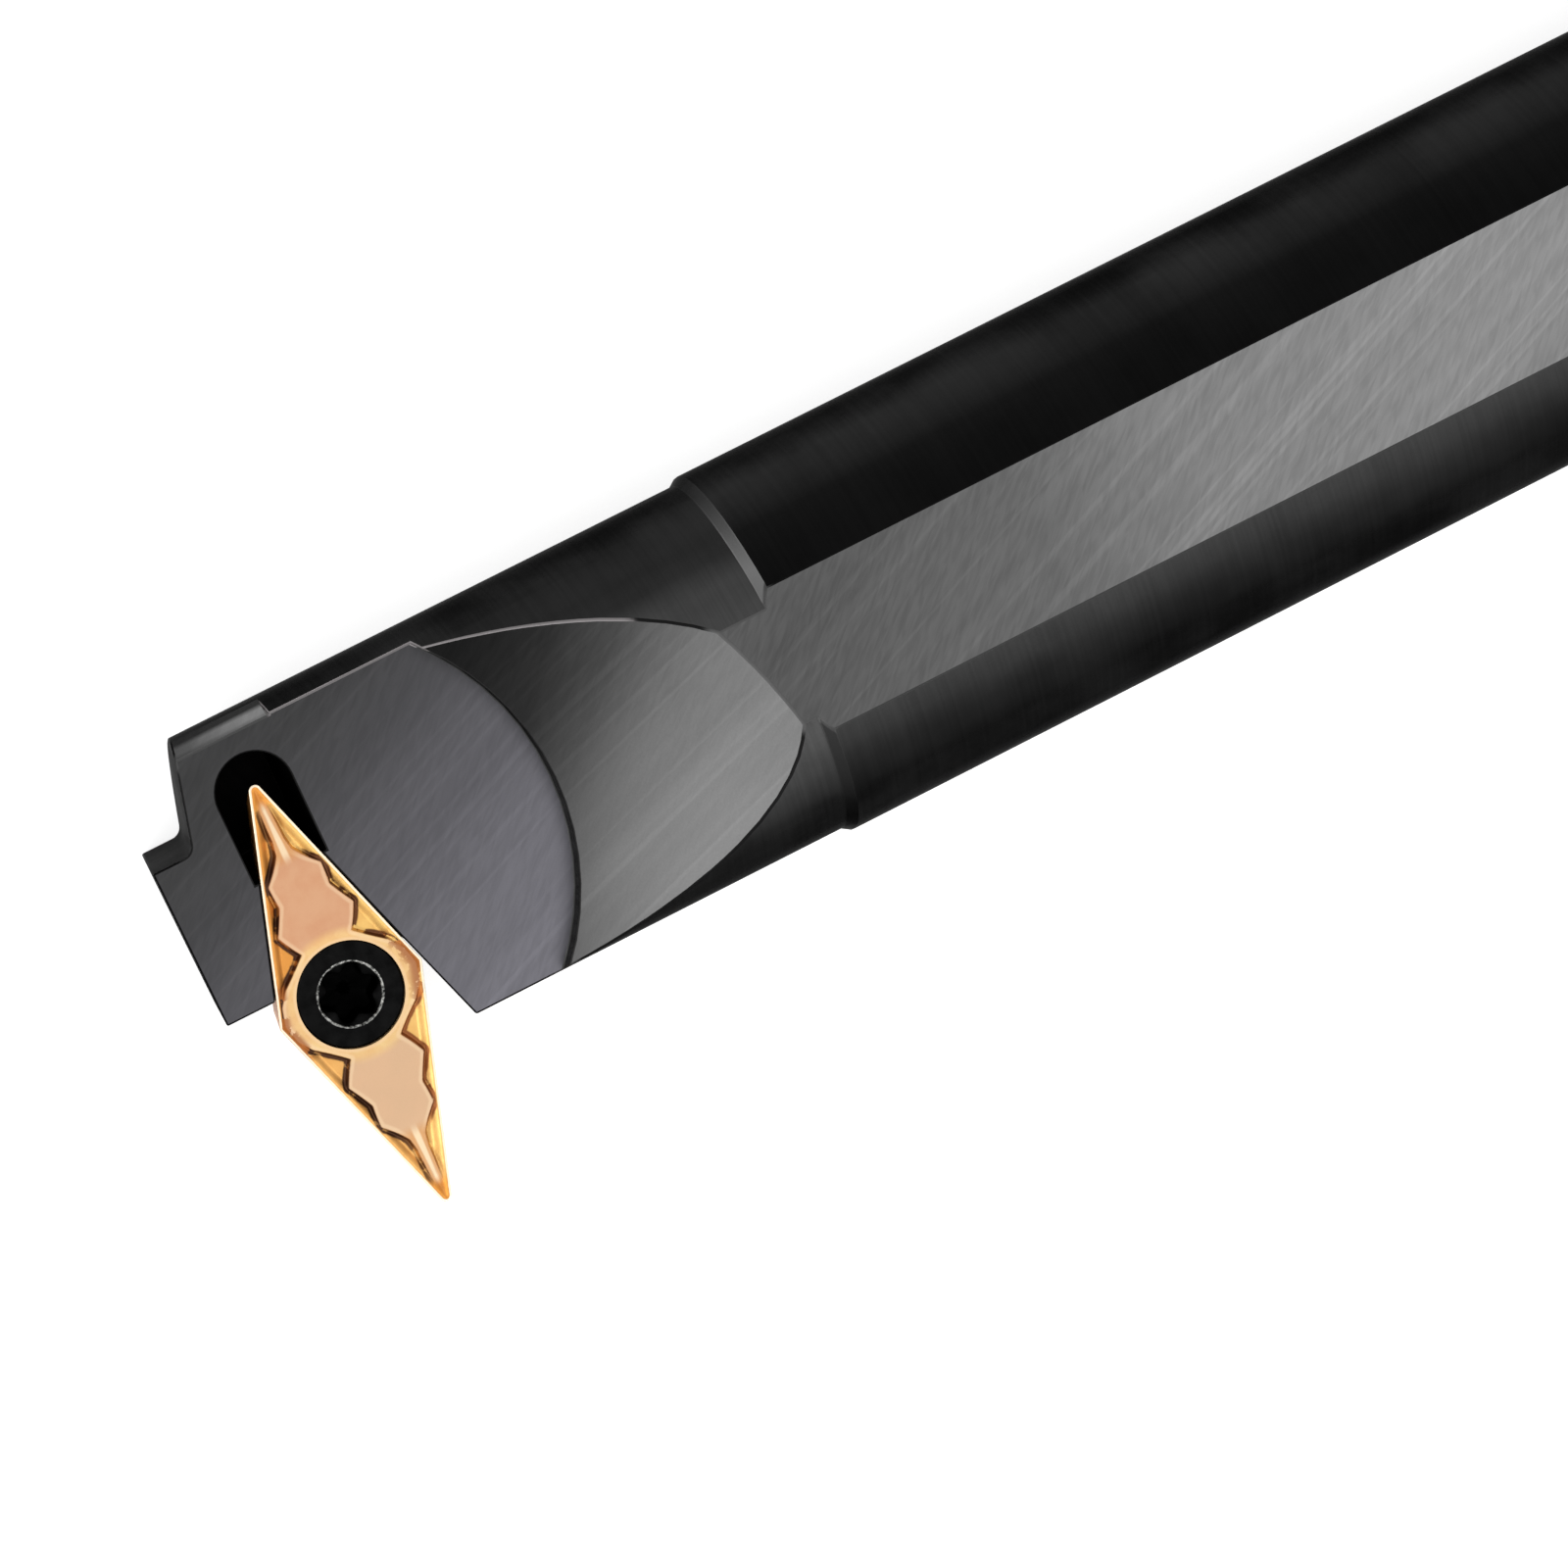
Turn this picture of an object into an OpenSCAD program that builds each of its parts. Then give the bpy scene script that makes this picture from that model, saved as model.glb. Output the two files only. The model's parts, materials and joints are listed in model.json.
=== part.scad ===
// Boring bar for a 35 degree diamond insert: a round steel bar with two flats, whose head carries
// the insert square to the bar, clamped in a V pocket by one countersunk screw.
// X runs along the bar from its rear end to the head, +Y points to the cutting tip, +Z is up.
// The origin is the centre of the rear end face.

/* [Bar] */
// Length of the bar, rear end to front of the head
bar_l = 250; // [150:1:350]
// Diameter of the shank
shank_d = 25; // [24.4:0.1:32]
// Height of the shank over its two flats
flat_h = 23; // [21:0.25:24]
// Chamfer on the rear end
end_chamfer = 1.2; // [0.4:0.1:3]
// Length of the reduced neck and head
neck_l = 40.8; // [38:0.2:60]
// Diameter of the neck and head
neck_d = 24.2; // [23.6:0.1:24.4]
// Length of the bevel from the neck up to the shank
shoulder_l = 0.6; // [0.2:0.1:2]

/* [Head] */
// Distance from the bar's axis to the cutting tip
reach = 22; // [20:0.25:25]
// Fall of the head's top face towards the tip, in degrees
rake = 8; // [4:0.5:10]
// Relief of the head's front faces, in degrees
relief = 5; // [0:0.5:7]
// Distance from the front of the head back to the middle of the insert
insert_x = 8; // [7:0.1:10]
// Height of the cutting tip over the bar's axis
tip_z = 0; // [-0.5:0.1:0.5]

/* [Chip scoop] */
// Radius of the round wall that ends the head's top face
scoop_r = 17.3; // [15:0.1:19]
// Offset of the scoop's axis from the bar's axis, towards the tip
scoop_y = 0.5; // [-1:0.1:2]
// Height of that wall, square to the top face
scoop_wall = 1.1; // [0.5:0.1:2]
// Slope of the cone that climbs from the wall to the flat, in degrees
scoop_slope = 28; // [22:1:40]

/* [Nose] */
// Distance from the bar's axis to the step behind the nose
step_y = 5.3; // [4:0.1:7]
// Length of that step, back from the front face
step_l = 2.8; // [1.5:0.1:3.5]
// Radius in the corner of the step
step_r = 0.8; // [0.3:0.1:1.5]
// Slant of the head's front face past the step, in degrees
step_slant = 15; // [5:1:25]
// Width of the nose's tip side that is cut back past the middle of the insert
nose_setback = 1.75; // [1:0.05:3]
// Length of the facet on the back of the head
facet_l = 10.8; // [7:0.1:14]
// Depth of that facet under the round of the head
facet_depth = 0.15; // [0.1:0.05:0.6]
// Angle of that facet over the bar's middle plane, in degrees
facet_angle = 17; // [12:1:22]

/* [Pocket] */
// Width of the slot that clears the insert's inner tip
slot_w = 5; // [4:0.1:6]
// Distance from the insert's inner tip to the round end of the slot
slot_past = 2.1; // [1:0.1:3]
// Depth of the slot under the top face
slot_depth = 8.5; // [5.5:0.1:10]
// How far the cutting tip stands out past the tongue that carries the insert
tongue_back = 4.6; // [3:0.1:7]
// How far the tongue's sides stay inside the insert's underside
tongue_inset = 0.5; // [0.2:0.1:1]
// Depth of the tongue's underside below the bar's axis
tongue_z = 9; // [7:0.1:10]
// Rise of the bevel under the tongue's end, in degrees
tongue_bevel = 30; // [15:1:45]

/* [Insert] */
// Diameter of the circle inscribed in the insert
insert_ic = 9.525; // [9:0.025:10.5]
// Thickness of the insert
insert_t = 4.76; // [3.97:0.01:5.56]
// Corner angle of the insert's cutting tips, in degrees
insert_angle = 35; // [33:1:40]
// Radius of the insert's corners
insert_nose = 0.4; // [0.2:0.1:0.8]
// Clearance angle of the insert's sides, in degrees
insert_clearance = 7; // [3:1:9]
// Diameter of the insert's screw hole
hole_d = 4.4; // [4.2:0.1:5]
// Width of the flat land along the cutting edge
land_w = 0.18; // [0.1:0.01:0.3]
// Depth of the chip groove behind the land
groove_depth = 0.32; // [0.1:0.01:0.4]
// Width of the steep wall between the groove and the island
island_wall = 0.22; // [0.1:0.01:0.4]
// Rise of the island over the cutting edge
island_rise = 0.08; // [0:0.01:0.15]

/* [Clamp screw] */
// Outer diameter of the thread
screw_d = 4; // [3.5:0.1:4.1]
// Overall length of the screw
screw_l = 11; // [9:0.1:12]
// Diameter of the countersunk head
head_d = 6.9; // [6.2:0.1:7.6]
// Full angle of the head's cone, in degrees
head_angle = 60; // [50:1:90]
// Height of the cylindrical rim over the cone
head_rim = 0.5; // [0.2:0.05:0.8]
// Depth of the head's face under the insert's top
head_sink = 0.15; // [0.05:0.05:0.4]
// Width over the lobes of the socket
socket_d = 3.95; // [3:0.05:4.2]
// Depth of the socket
socket_depth = 1.9; // [1:0.1:2.2]

/* [Fits] */
// Gap between the insert's sides and the pocket's walls
pocket_gap = 0.05; // [0.02:0.01:0.15]
// Gap round the thread in its tapped hole
thread_gap = 0.05; // [0.03:0.01:0.1]
// Gap between the screw's head and its countersink
head_gap = 0.04; // [0.02:0.01:0.1]

/* [Hidden] */
$fn = 96;
far = 60;

// The insert: half its corner angle, its reach to the corners, and the shrink of its underside
half_angle = insert_angle / 2;
tip_r = insert_ic / 2 / sin(half_angle) - insert_nose * (1 / sin(half_angle) - 1);
side_r = insert_ic / 2 / cos(half_angle) - insert_nose * (1 / cos(half_angle) - 1);
under_scale = 1 - 2 * insert_t * tan(insert_clearance) / insert_ic;

// Where the insert's middle lies, and the height of the top face over any y
insert_y = reach - tip_r * cos(rake);
insert_z = tip_z + tip_r * sin(rake);
function top_z(y) = tip_z + (reach - y) * tan(rake);

// The screw: the countersink's mouth, and the depth at which the cone reaches the thread
mouth_d = head_d + 2 * head_gap;
cone_l = (head_d - screw_d) / 2 / tan(head_angle / 2);
socket_mouth_d = socket_d + 0.35;
lobe_r = socket_d * 0.13;

// Straight run of the corner round in the step: tangent points either side of the corner
step_tangent = step_r / tan((90 + step_slant) / 2);

// The island's outline, from the insert's middle to a tip: [share of the half length, share of the half width]
island_line = [
    [0, 0.95], [0.08, 0.96], [0.14, 0.87], [0.25, 0.47], [0.36, 0.84], [0.475, 0.67],
    [0.575, 0.86], [0.68, 0.33], [0.74, 0.32], [0.91, 0.5], [1, 0.5]
];
// The height of its top along the same run, as shares of its rise above and of the groove below the edge
ridge_line = [[0, 0], [0.22, 0], [0.28, 1], [0.6, 1], [0.7, 0.2], [0.88, -0.3], [0.93, -1], [1, -1]];

// Half the insert's width at a distance y from its middle, with round corners
tip_centre = tip_r - insert_nose;
side_centre = side_r - insert_nose;
side_tangent = insert_nose * sin(half_angle);
tip_tangent = tip_centre + side_tangent;
function half_width(y) =
    y > tip_tangent ? sqrt(max(0, insert_nose * insert_nose - pow(y - tip_centre, 2)))
    : y < side_tangent ? side_centre + sqrt(insert_nose * insert_nose - y * y)
    : (insert_ic / 2 - y * sin(half_angle)) / cos(half_angle);

// Rows of the insert's top, from its middle to a tip: a few on each straight run of the island's
// outline, so that its corners stay crisp, then steps round the tip
steps = 3;
run_rows = [for (i = [0:len(island_line) - 2]) for (k = [1:steps])
    tip_r * (island_line[i][0] + (island_line[i + 1][0] - island_line[i][0]) * k / steps)];
half_rows = concat(
    [0, side_tangent],
    [for (y = run_rows) if (y > side_tangent + 0.1 && y < tip_tangent - 0.1) y],
    [tip_tangent],
    [for (a = [36, 56, 76]) tip_centre + insert_nose * sin(a)]
);
last = len(half_rows) - 1;
rows = concat([for (i = [last:-1:1]) -half_rows[i]], half_rows);

// One half of a row, edge to middle, as [x, z]: edge, land, groove, foot of the island, its brow, its crown
function half_row(y) =
    let (
        s = y / tip_r,
        edge = half_width(y),
        land = edge - min(land_w / cos(half_angle), 0.35 * edge),
        brow = land * lookup(s, island_line),
        room = land - brow,
        foot = brow + min(island_wall, 0.4 * room),
        groove = (land + foot) / 2,
        deep = min(groove_depth, 0.5 * room),
        top = lookup(s, ridge_line),
        crown = top < 0 ? top * deep : top * min(island_rise, edge)
    )
    [[edge, 0], [land, 0], [groove, -deep], [foot, -deep], [brow, crown], [brow / 2, crown]];

function full_row(y) =
    let (half = half_row(abs(y)), middle = half[5][1])
    concat(
        [for (p = half) [-p[0], y, p[1]]],
        [[0, y, middle]],
        [for (i = [5:-1:0]) [half[i][0], y, half[i][1]]]
    );

// Places what follows in the head's own frame: x runs back from the front face
module head_frame() {
    translate([bar_l, 0, 0])
    mirror([1, 0, 0])
    children();
}

// Places what follows on the insert's middle, square to the top face
module seat_frame() {
    head_frame()
    translate([insert_x, insert_y, insert_z])
    rotate([-rake, 0, 0])
    children();
}

// Turned bar with its chamfer and shoulder, milled flat above and below
module blank() {
    intersection() {
        rotate([90, 0, 90])
        rotate_extrude()
        polygon([
            [0, 0], [shank_d / 2 - end_chamfer, 0], [shank_d / 2, end_chamfer],
            [shank_d / 2, bar_l - neck_l - shoulder_l], [neck_d / 2, bar_l - neck_l],
            [neck_d / 2, bar_l], [0, bar_l]
        ]);
        translate([-1, -far, -flat_h / 2])
        cube([bar_l + 2, 2 * far, flat_h]);
    }
}

// Plan of the tongue under the insert: the insert's underside, drawn in all round and cut off short of the tip
module tongue_plan(inset) {
    under_ic = insert_ic * under_scale - 2 * inset;
    half_l = under_ic / 2 / sin(half_angle);
    half_w = under_ic / 2 / cos(half_angle);
    intersection() {
        polygon([[0, -half_l], [half_w, 0], [0, half_l], [-half_w, 0]]);
        translate([-far, -far])
        square([2 * far, far + reach - tongue_back - insert_y]);
    }
}

// Tongue that carries the insert past the round of the neck, bevelled under its end
module tongue() {
    end_y = reach - tongue_back;
    head_frame()
    difference() {
        translate([insert_x, insert_y, 0])
        rotate([0, -relief, 0])
        translate([0, 0, -far / 2])
        linear_extrude(far / 2 + insert_z)
        tongue_plan(tongue_inset);
        translate([-far, -far, -far - tongue_z])
        cube([2 * far, 2 * far, far]);
        translate([-far, end_y, -(tongue_z + insert_t) / 2 - 1])
        rotate([tongue_bevel, 0, 0])
        translate([0, -far / 2, -far])
        cube([2 * far, far, far]);
    }
}

// What the scoop takes away: the flat of the top face, its round end wall and the cone that climbs from it
module scoop() {
    rise = shank_d;
    head_frame()
    translate([insert_x, scoop_y, top_z(scoop_y)])
    rotate([-rake, 0, 0])
    rotate_extrude($fn = 180)
    polygon([
        [0, 0], [scoop_r, 0], [scoop_r, scoop_wall],
        [scoop_r + rise / tan(scoop_slope), scoop_wall + rise], [0, scoop_wall + rise]
    ]);
}

// Relieved front face, and the step and slanted face behind the nose with a round corner between them
module nose_cut() {
    slant = [sin(step_slant), -cos(step_slant)];
    corner = [step_l, -step_y];
    middle = corner - [step_tangent, step_r];
    round = [for (a = [90:-(90 + -step_slant) / 6:step_slant]) middle + step_r * [cos(a), sin(a)]];
    head_frame()
    translate([0, 0, top_z(-step_y)])
    rotate([0, -relief, 0])
    translate([0, 0, -far])
    linear_extrude(2 * far)
    polygon(concat(
        [[-far, far], [0, far], [0, -step_y]],
        round,
        [corner + far * slant, [-far, corner[1] + far * slant[1]]]
    ));
}

// Room beside the tongue, from the nose's tip side to the relieved wall behind the insert
module tip_side_cut() {
    slope = tan(half_angle);
    wall_x = (insert_ic / 2 + pocket_gap) / cos(half_angle);
    head_frame()
    translate([insert_x, insert_y, insert_z])
    rotate([0, -relief, 0])
    translate([0, 0, -far])
    linear_extrude(2 * far)
    difference() {
        polygon([
            [-far, -nose_setback], [wall_x - nose_setback * slope, -nose_setback],
            [wall_x + far * slope, far], [-far, far]
        ]);
        tongue_plan(tongue_inset);
    }
}

// Block that reaches out to one pocket wall: side is 1 for the wall behind the insert, -1 for the one before it
module wall_block(side) {
    rotate([0, 0, -side * half_angle])
    translate([side * (insert_ic / 2 + pocket_gap), 0, 0])
    rotate([0, side * insert_clearance, 0])
    translate([side > 0 ? -far : 0, -far, -far / 2])
    cube([far, 2 * far, far]);
}

// V pocket with drafted walls, its floor under the insert
module pocket() {
    seat_frame()
    intersection() {
        wall_block(1);
        wall_block(-1);
        translate([-far, -far, -insert_t])
        cube([2 * far, 2 * far, far]);
    }
}

// Round-ended slot round the insert's inner tip
module tip_slot() {
    slot_y = -tip_r - slot_past + slot_w / 2;
    run = slot_w / 2 / tan(half_angle) - slot_w / 2 - slot_past;
    seat_frame()
    translate([0, slot_y, -slot_depth]) {
        cylinder(d = slot_w, h = far);
        translate([-slot_w / 2, 0, 0])
        cube([slot_w, slot_past + run, far]);
    }
}

// Tapped hole under the insert, right through the head
module screw_hole() {
    seat_frame()
    translate([0, 0, -far])
    cylinder(d = screw_d + 2 * thread_gap, h = far);
}

// Shallow facet on the back of the head, beside the top face
module back_facet() {
    head_frame()
    rotate([-facet_angle, 0, 0])
    translate([-1, -far - neck_d / 2 + facet_depth, -far / 2])
    cube([facet_l + 1, far, far]);
}

module bar() {
    color("#2e2e30")
    difference() {
        union() {
            blank();
            tongue();
        }
        scoop();
        nose_cut();
        tip_side_cut();
        pocket();
        tip_slot();
        screw_hole();
        back_facet();
    }
}

// Diamond blank with the chip groove, the wavy island and the ridges pressed into its top
module insert_body() {
    top = [for (y = rows) full_row(y)];
    across = len(top[0]);
    count = len(rows);
    under = [for (y = rows) for (side = [-1, 1]) [side * half_width(abs(y)), y] * under_scale];
    points = concat(
        [for (row = top) for (p = row) p],
        [for (p = under) [p[0], p[1], -insert_t]]
    );
    base = across * count;
    middle = (across - 1) / 2;
    far_row = across * (count - 1);
    far_base = base + 2 * (count - 1);
    faces = concat(
        [for (i = [0:count - 2]) for (j = [0:across - 2])
            [i * across + j, (i + 1) * across + j, (i + 1) * across + j + 1]],
        [for (i = [0:count - 2]) for (j = [0:across - 2])
            [i * across + j, (i + 1) * across + j + 1, i * across + j + 1]],
        [for (i = [0:count - 2])
            [i * across, base + 2 * i, base + 2 * i + 2, (i + 1) * across]],
        [for (i = [0:count - 2])
            [(i + 1) * across + across - 1, base + 2 * i + 3, base + 2 * i + 1, i * across + across - 1]],
        [for (j = [0:across - 2]) [j, j + 1, base + (j < middle ? 0 : 1)]],
        [[middle, base + 1, base]],
        [for (j = [0:across - 2]) [far_row + j + 1, far_row + j, far_base + (j < middle ? 0 : 1)]],
        [[far_row + middle, far_base, far_base + 1]],
        [concat([for (i = [0:count - 1]) base + 2 * i + 1], [for (i = [count - 1:-1:0]) base + 2 * i])]
    );
    polyhedron(points, faces, convexity = 6);
}

// Screw hole of the insert: a cone for the screw's head over a straight bore
module insert_hole() {
    mouth_z = -head_sink - head_rim + head_gap;
    cone = (mouth_d - hole_d) / 2 / tan(head_angle / 2);
    rotate_extrude()
    polygon([
        [0, 1], [mouth_d / 2, 1], [mouth_d / 2, mouth_z],
        [hole_d / 2, mouth_z - cone], [hole_d / 2, -insert_t - 1], [0, -insert_t - 1]
    ]);
}

module insert() {
    color("#d9a45c")
    seat_frame()
    difference() {
        insert_body();
        insert_hole();
    }
}

// Six-lobed socket: a round core, six lobes and a shallow cone at its mouth
module socket() {
    lobe_place = socket_d / 2 - lobe_r;
    mouth = (socket_mouth_d - socket_d) / 2;
    translate([0, 0, -head_sink - socket_depth])
    linear_extrude(socket_depth + 1)
    union() {
        circle(d = socket_d * 0.74);
        for (i = [0:5])
            rotate(i * 60)
            translate([lobe_place, 0])
            circle(lobe_r);
    }
    translate([0, 0, -head_sink - 2 * mouth])
    rotate_extrude()
    polygon([[0, 0], [socket_d / 2 - mouth, 0], [socket_mouth_d / 2, 2 * mouth], [socket_mouth_d / 2, 1], [0, 1]]);
}

module insert_screw() {
    end_z = -head_sink - screw_l;
    rim_z = -head_sink - head_rim;
    tip = screw_d * 0.12;
    color("#161616")
    seat_frame()
    difference() {
        rotate_extrude()
        polygon([
            [0, -head_sink], [head_d / 2 - 0.1, -head_sink], [head_d / 2, -head_sink - 0.1],
            [head_d / 2, rim_z], [screw_d / 2, rim_z - cone_l], [screw_d / 2, end_z + tip],
            [screw_d / 2 - tip, end_z], [0, end_z]
        ]);
        socket();
    }
}

bar();
insert();
insert_screw();
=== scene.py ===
# %% [markdown]
# A boring bar in Blender.
#
# A boring bar opens up a hole that is already there. It is a round steel bar with two flats for
# the clamping screws, and its head carries a small diamond of coated carbide, the insert, held in
# a V pocket by one countersunk screw. The solids come from the CAD frame, in metres, with +X along
# the bar to the head, +Y to the cutting tip and +Z up. This file gives them their finish, and
# rebuilds the insert and its screw as fine surfaces, because there the eye comes closest.

import json
import math

import bmesh
import bpy
import numpy as np
from mathutils import Matrix, Vector

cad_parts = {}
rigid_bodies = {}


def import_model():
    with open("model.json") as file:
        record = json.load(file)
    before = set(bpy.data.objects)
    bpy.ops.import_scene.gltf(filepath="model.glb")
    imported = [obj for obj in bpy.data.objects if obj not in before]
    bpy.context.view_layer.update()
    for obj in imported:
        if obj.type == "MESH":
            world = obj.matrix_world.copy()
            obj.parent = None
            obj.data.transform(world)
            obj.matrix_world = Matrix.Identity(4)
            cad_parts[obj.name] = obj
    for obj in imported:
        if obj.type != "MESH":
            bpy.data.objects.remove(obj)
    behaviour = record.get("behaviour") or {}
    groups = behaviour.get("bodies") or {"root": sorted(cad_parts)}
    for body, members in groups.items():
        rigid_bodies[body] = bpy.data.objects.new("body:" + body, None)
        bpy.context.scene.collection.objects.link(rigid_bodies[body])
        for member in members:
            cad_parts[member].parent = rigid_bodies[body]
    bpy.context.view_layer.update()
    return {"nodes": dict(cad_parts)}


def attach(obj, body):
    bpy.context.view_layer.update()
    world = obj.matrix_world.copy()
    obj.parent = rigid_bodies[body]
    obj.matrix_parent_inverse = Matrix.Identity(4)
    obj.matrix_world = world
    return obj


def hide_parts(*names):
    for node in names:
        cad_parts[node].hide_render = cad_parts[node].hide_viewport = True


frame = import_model()
print("CAD nodes:", ", ".join(sorted(frame["nodes"])))

# %% [markdown]
# The camera.
#
# The photograph looks almost straight down on the top flat, from far enough away that the shank
# hardly tapers. Three directions say how the camera stands: where its right side, its lower side
# and its line of sight point in the object's frame. A point that lies in the middle of the picture
# and a distance then place it. The long lens is what keeps the bar's two edges nearly parallel.

# %% Camera
TO_RIGHT = Vector((-0.88028, 0.43082, 0.19873))
TO_BOTTOM = Vector((0.44656, 0.89384, 0.04035))
LINE_OF_SIGHT = Vector((-0.16025, 0.12426, -0.97922))
AIM = Vector((0.2111, 0.008, 0.0))
DISTANCE, NEAREST, FARTHEST = 0.550, 0.01, 20.0
LENS, SENSOR = 199.0, 36.0

lens = bpy.data.cameras.new("Camera")
lens.sensor_width = SENSOR
lens.lens = LENS
lens.clip_start, lens.clip_end = NEAREST, FARTHEST
camera = bpy.data.objects.new("Camera", lens)
turn = Matrix((TO_RIGHT, -TO_BOTTOM, -LINE_OF_SIGHT)).transposed()
camera.matrix_world = Matrix.Translation(AIM - DISTANCE * LINE_OF_SIGHT) @ turn.to_4x4()
bpy.context.scene.collection.objects.link(camera)
bpy.context.scene.camera = camera
print("camera stands at", [round(c, 3) for c in camera.location])

# %% [markdown]
# Sizes that the fine pieces need.
#
# The insert and the screw are rebuilt here, so they repeat the CAD model's own sizes, in
# millimetres. Everything on the insert is drawn flat, as if it lay on a table with its middle at
# the origin, and one function sets it on its seat: it tips it by the rake angle, turns it to face
# the head and moves it to its place.

# %% Sizes and the seat
MM = 0.001
# The bar's length, how far the cutting tip stands out from its axis, and the seat's rake angle
BAR_L, REACH, RAKE = 250.0, 22.0, math.radians(8)
# How far the insert's middle lies behind the front face, and how high its cutting tip lies
INSERT_X, TIP_Z = 8.0, 0.0
# The insert's inscribed circle, thickness, corner radius, half its sharp angle and its sides' slope
INSCRIBED, THICK, NOSE = 9.525, 4.76, 0.4
HALF_ANGLE, CLEARANCE = math.radians(17.5), math.radians(7)
# The insert's hole, half the angle of its countersink, and the screw's head that lies in it
HOLE_D, CONE_HALF = 4.4, math.radians(30)
HEAD_D, HEAD_GAP, HEAD_RIM, HEAD_SINK = 6.9, 0.04, 0.5, 0.15

# From the insert's middle to the centres of its corners and to its tips, then its place on the bar
TIP_CENTRE = (INSCRIBED / 2 - NOSE) / math.sin(HALF_ANGLE)
SIDE_CENTRE = (INSCRIBED / 2 - NOSE) / math.cos(HALF_ANGLE)
TIP_R = TIP_CENTRE + NOSE
SEAT_Y = REACH - TIP_R * math.cos(RAKE)
SEAT_Z = TIP_Z + TIP_R * math.sin(RAKE)


def seated(points):
    """Points on the flat insert, in mm, as places in the frame, in metres.
    y and z turn by the rake about x, then x runs back from the head's front face."""
    x, y, z = points[..., 0], points[..., 1], points[..., 2]
    back = BAR_L - INSERT_X - x
    across = SEAT_Y + y * math.cos(RAKE) + z * math.sin(RAKE)
    up = SEAT_Z - y * math.sin(RAKE) + z * math.cos(RAKE)
    return np.stack([back, across, up], axis=-1) * MM


print("insert sits at y", round(SEAT_Y, 3), "z", round(SEAT_Z, 3))
print("its tips lie", round(TIP_R, 3), "mm from its middle")


# %% Grids into pieces
def wrapped_faces(rows, columns):
    """Quads of a grid whose columns close on themselves, seen from outside once it is seated."""
    i, j = np.meshgrid(np.arange(rows - 1), np.arange(columns), indexing="ij")
    k = (j + 1) % columns
    quads = [i * columns + j, (i + 1) * columns + j, (i + 1) * columns + k, i * columns + k]
    return np.stack(quads, axis=-1).reshape(-1, 4)


def new_piece(name, points, quads, caps=()):
    """A smooth mesh object from an array of places, an array of quads and a few larger faces."""
    mesh = bpy.data.meshes.new(name)
    mesh.from_pydata(points.reshape(-1, 3).tolist(), [], quads.tolist() + [list(c) for c in caps])
    mesh.shade_smooth()
    piece = bpy.data.objects.new(name, mesh)
    bpy.context.scene.collection.objects.link(piece)
    return piece


def write_mask(piece, name, values):
    """Stores one number per vertex under a name that a material can read."""
    mask = piece.data.attributes.new(name, "FLOAT", "POINT")
    mask.data.foreach_set("value", np.asarray(values, np.float32).ravel())


print("a wrapped grid of 3 rows and 4 columns has", len(wrapped_faces(3, 4)), "faces")

# %% [markdown]
# The insert.
#
# It is pressed from carbide powder and sintered, so its top can hold any relief that lifts out of
# a die: a narrow flat land along the cutting edge, a groove behind it that curls the chip, and a
# wavy island whose bumps break it. Its sides slope in underneath by the clearance angle. A sculpted
# or booleaned mesh would leave ragged creases. Here the whole skin is one sheet wrapped like a
# tyre: one parameter runs round the insert, the other runs from the screw hole out over the top,
# down the side, in along the bottom and up the bore. The height of the top is a formula of two
# distances, to the cutting edge and to the outline of the island.

# %% Distance from the cutting edge
def from_edge(x, y):
    """Distance in from the outline: the corner radius less the signed distance to the diamond
    that joins the corner centres."""
    p = np.stack([np.abs(x), np.abs(y)], axis=-1)
    a, b = np.array([0, TIP_CENTRE]), np.array([SIDE_CENTRE, 0])
    along = b - a
    t = np.clip(((p - a) @ along) / (along @ along), 0, 1)
    gap = np.linalg.norm(p - a - t[..., None] * along, axis=-1)
    side = np.sign((p - a) @ np.array([math.cos(HALF_ANGLE), math.sin(HALF_ANGLE)]))
    return NOSE - side * gap


def half_width(y):
    """Half the width of the top at a distance y from the middle. On the straight sides it is
    (inscribed radius - y sin half angle) / cos half angle, and on the corners an arc."""
    straight = (INSCRIBED / 2 - y * math.sin(HALF_ANGLE)) / math.cos(HALF_ANGLE)
    round_tip = np.sqrt(np.maximum(0, NOSE**2 - (y - TIP_CENTRE) ** 2))
    tangent = NOSE * math.sin(HALF_ANGLE)
    obtuse = SIDE_CENTRE + np.sqrt(np.maximum(0, NOSE**2 - y**2))
    return np.where(y > TIP_CENTRE + tangent, round_tip, np.where(y < tangent, obtuse, straight))


print("the insert is", round(2 * float(half_width(0.0)), 3), "mm wide at its middle")

# %% Distance from the island
# The land along the cutting edge, and the least half width that the island may fill
LAND, LEAST = 0.18, 0.05
# Outline of the island from the middle to a tip: share of the half length, share of the half width
ISLAND = np.array([
    (0.0, 0.95), (0.08, 0.96), (0.14, 0.87), (0.25, 0.47), (0.36, 0.84), (0.475, 0.67),
    (0.575, 0.86), (0.68, 0.31), (0.74, 0.25), (0.91, 0.4), (0.965, 0.02), (1.0, 0.0),
])
# The outline is measured at so many points, from a little beyond the middle
OUTLINE_POINTS, BEYOND_MIDDLE = 260, 1.5


def island_width(y):
    """Half the width of the island: the width inside the lands times the share in the table."""
    inside = np.maximum(half_width(y) - LAND / math.cos(HALF_ANGLE), LEAST)
    return inside * np.interp(y / TIP_R, ISLAND[:, 0], ISLAND[:, 1])


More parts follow.
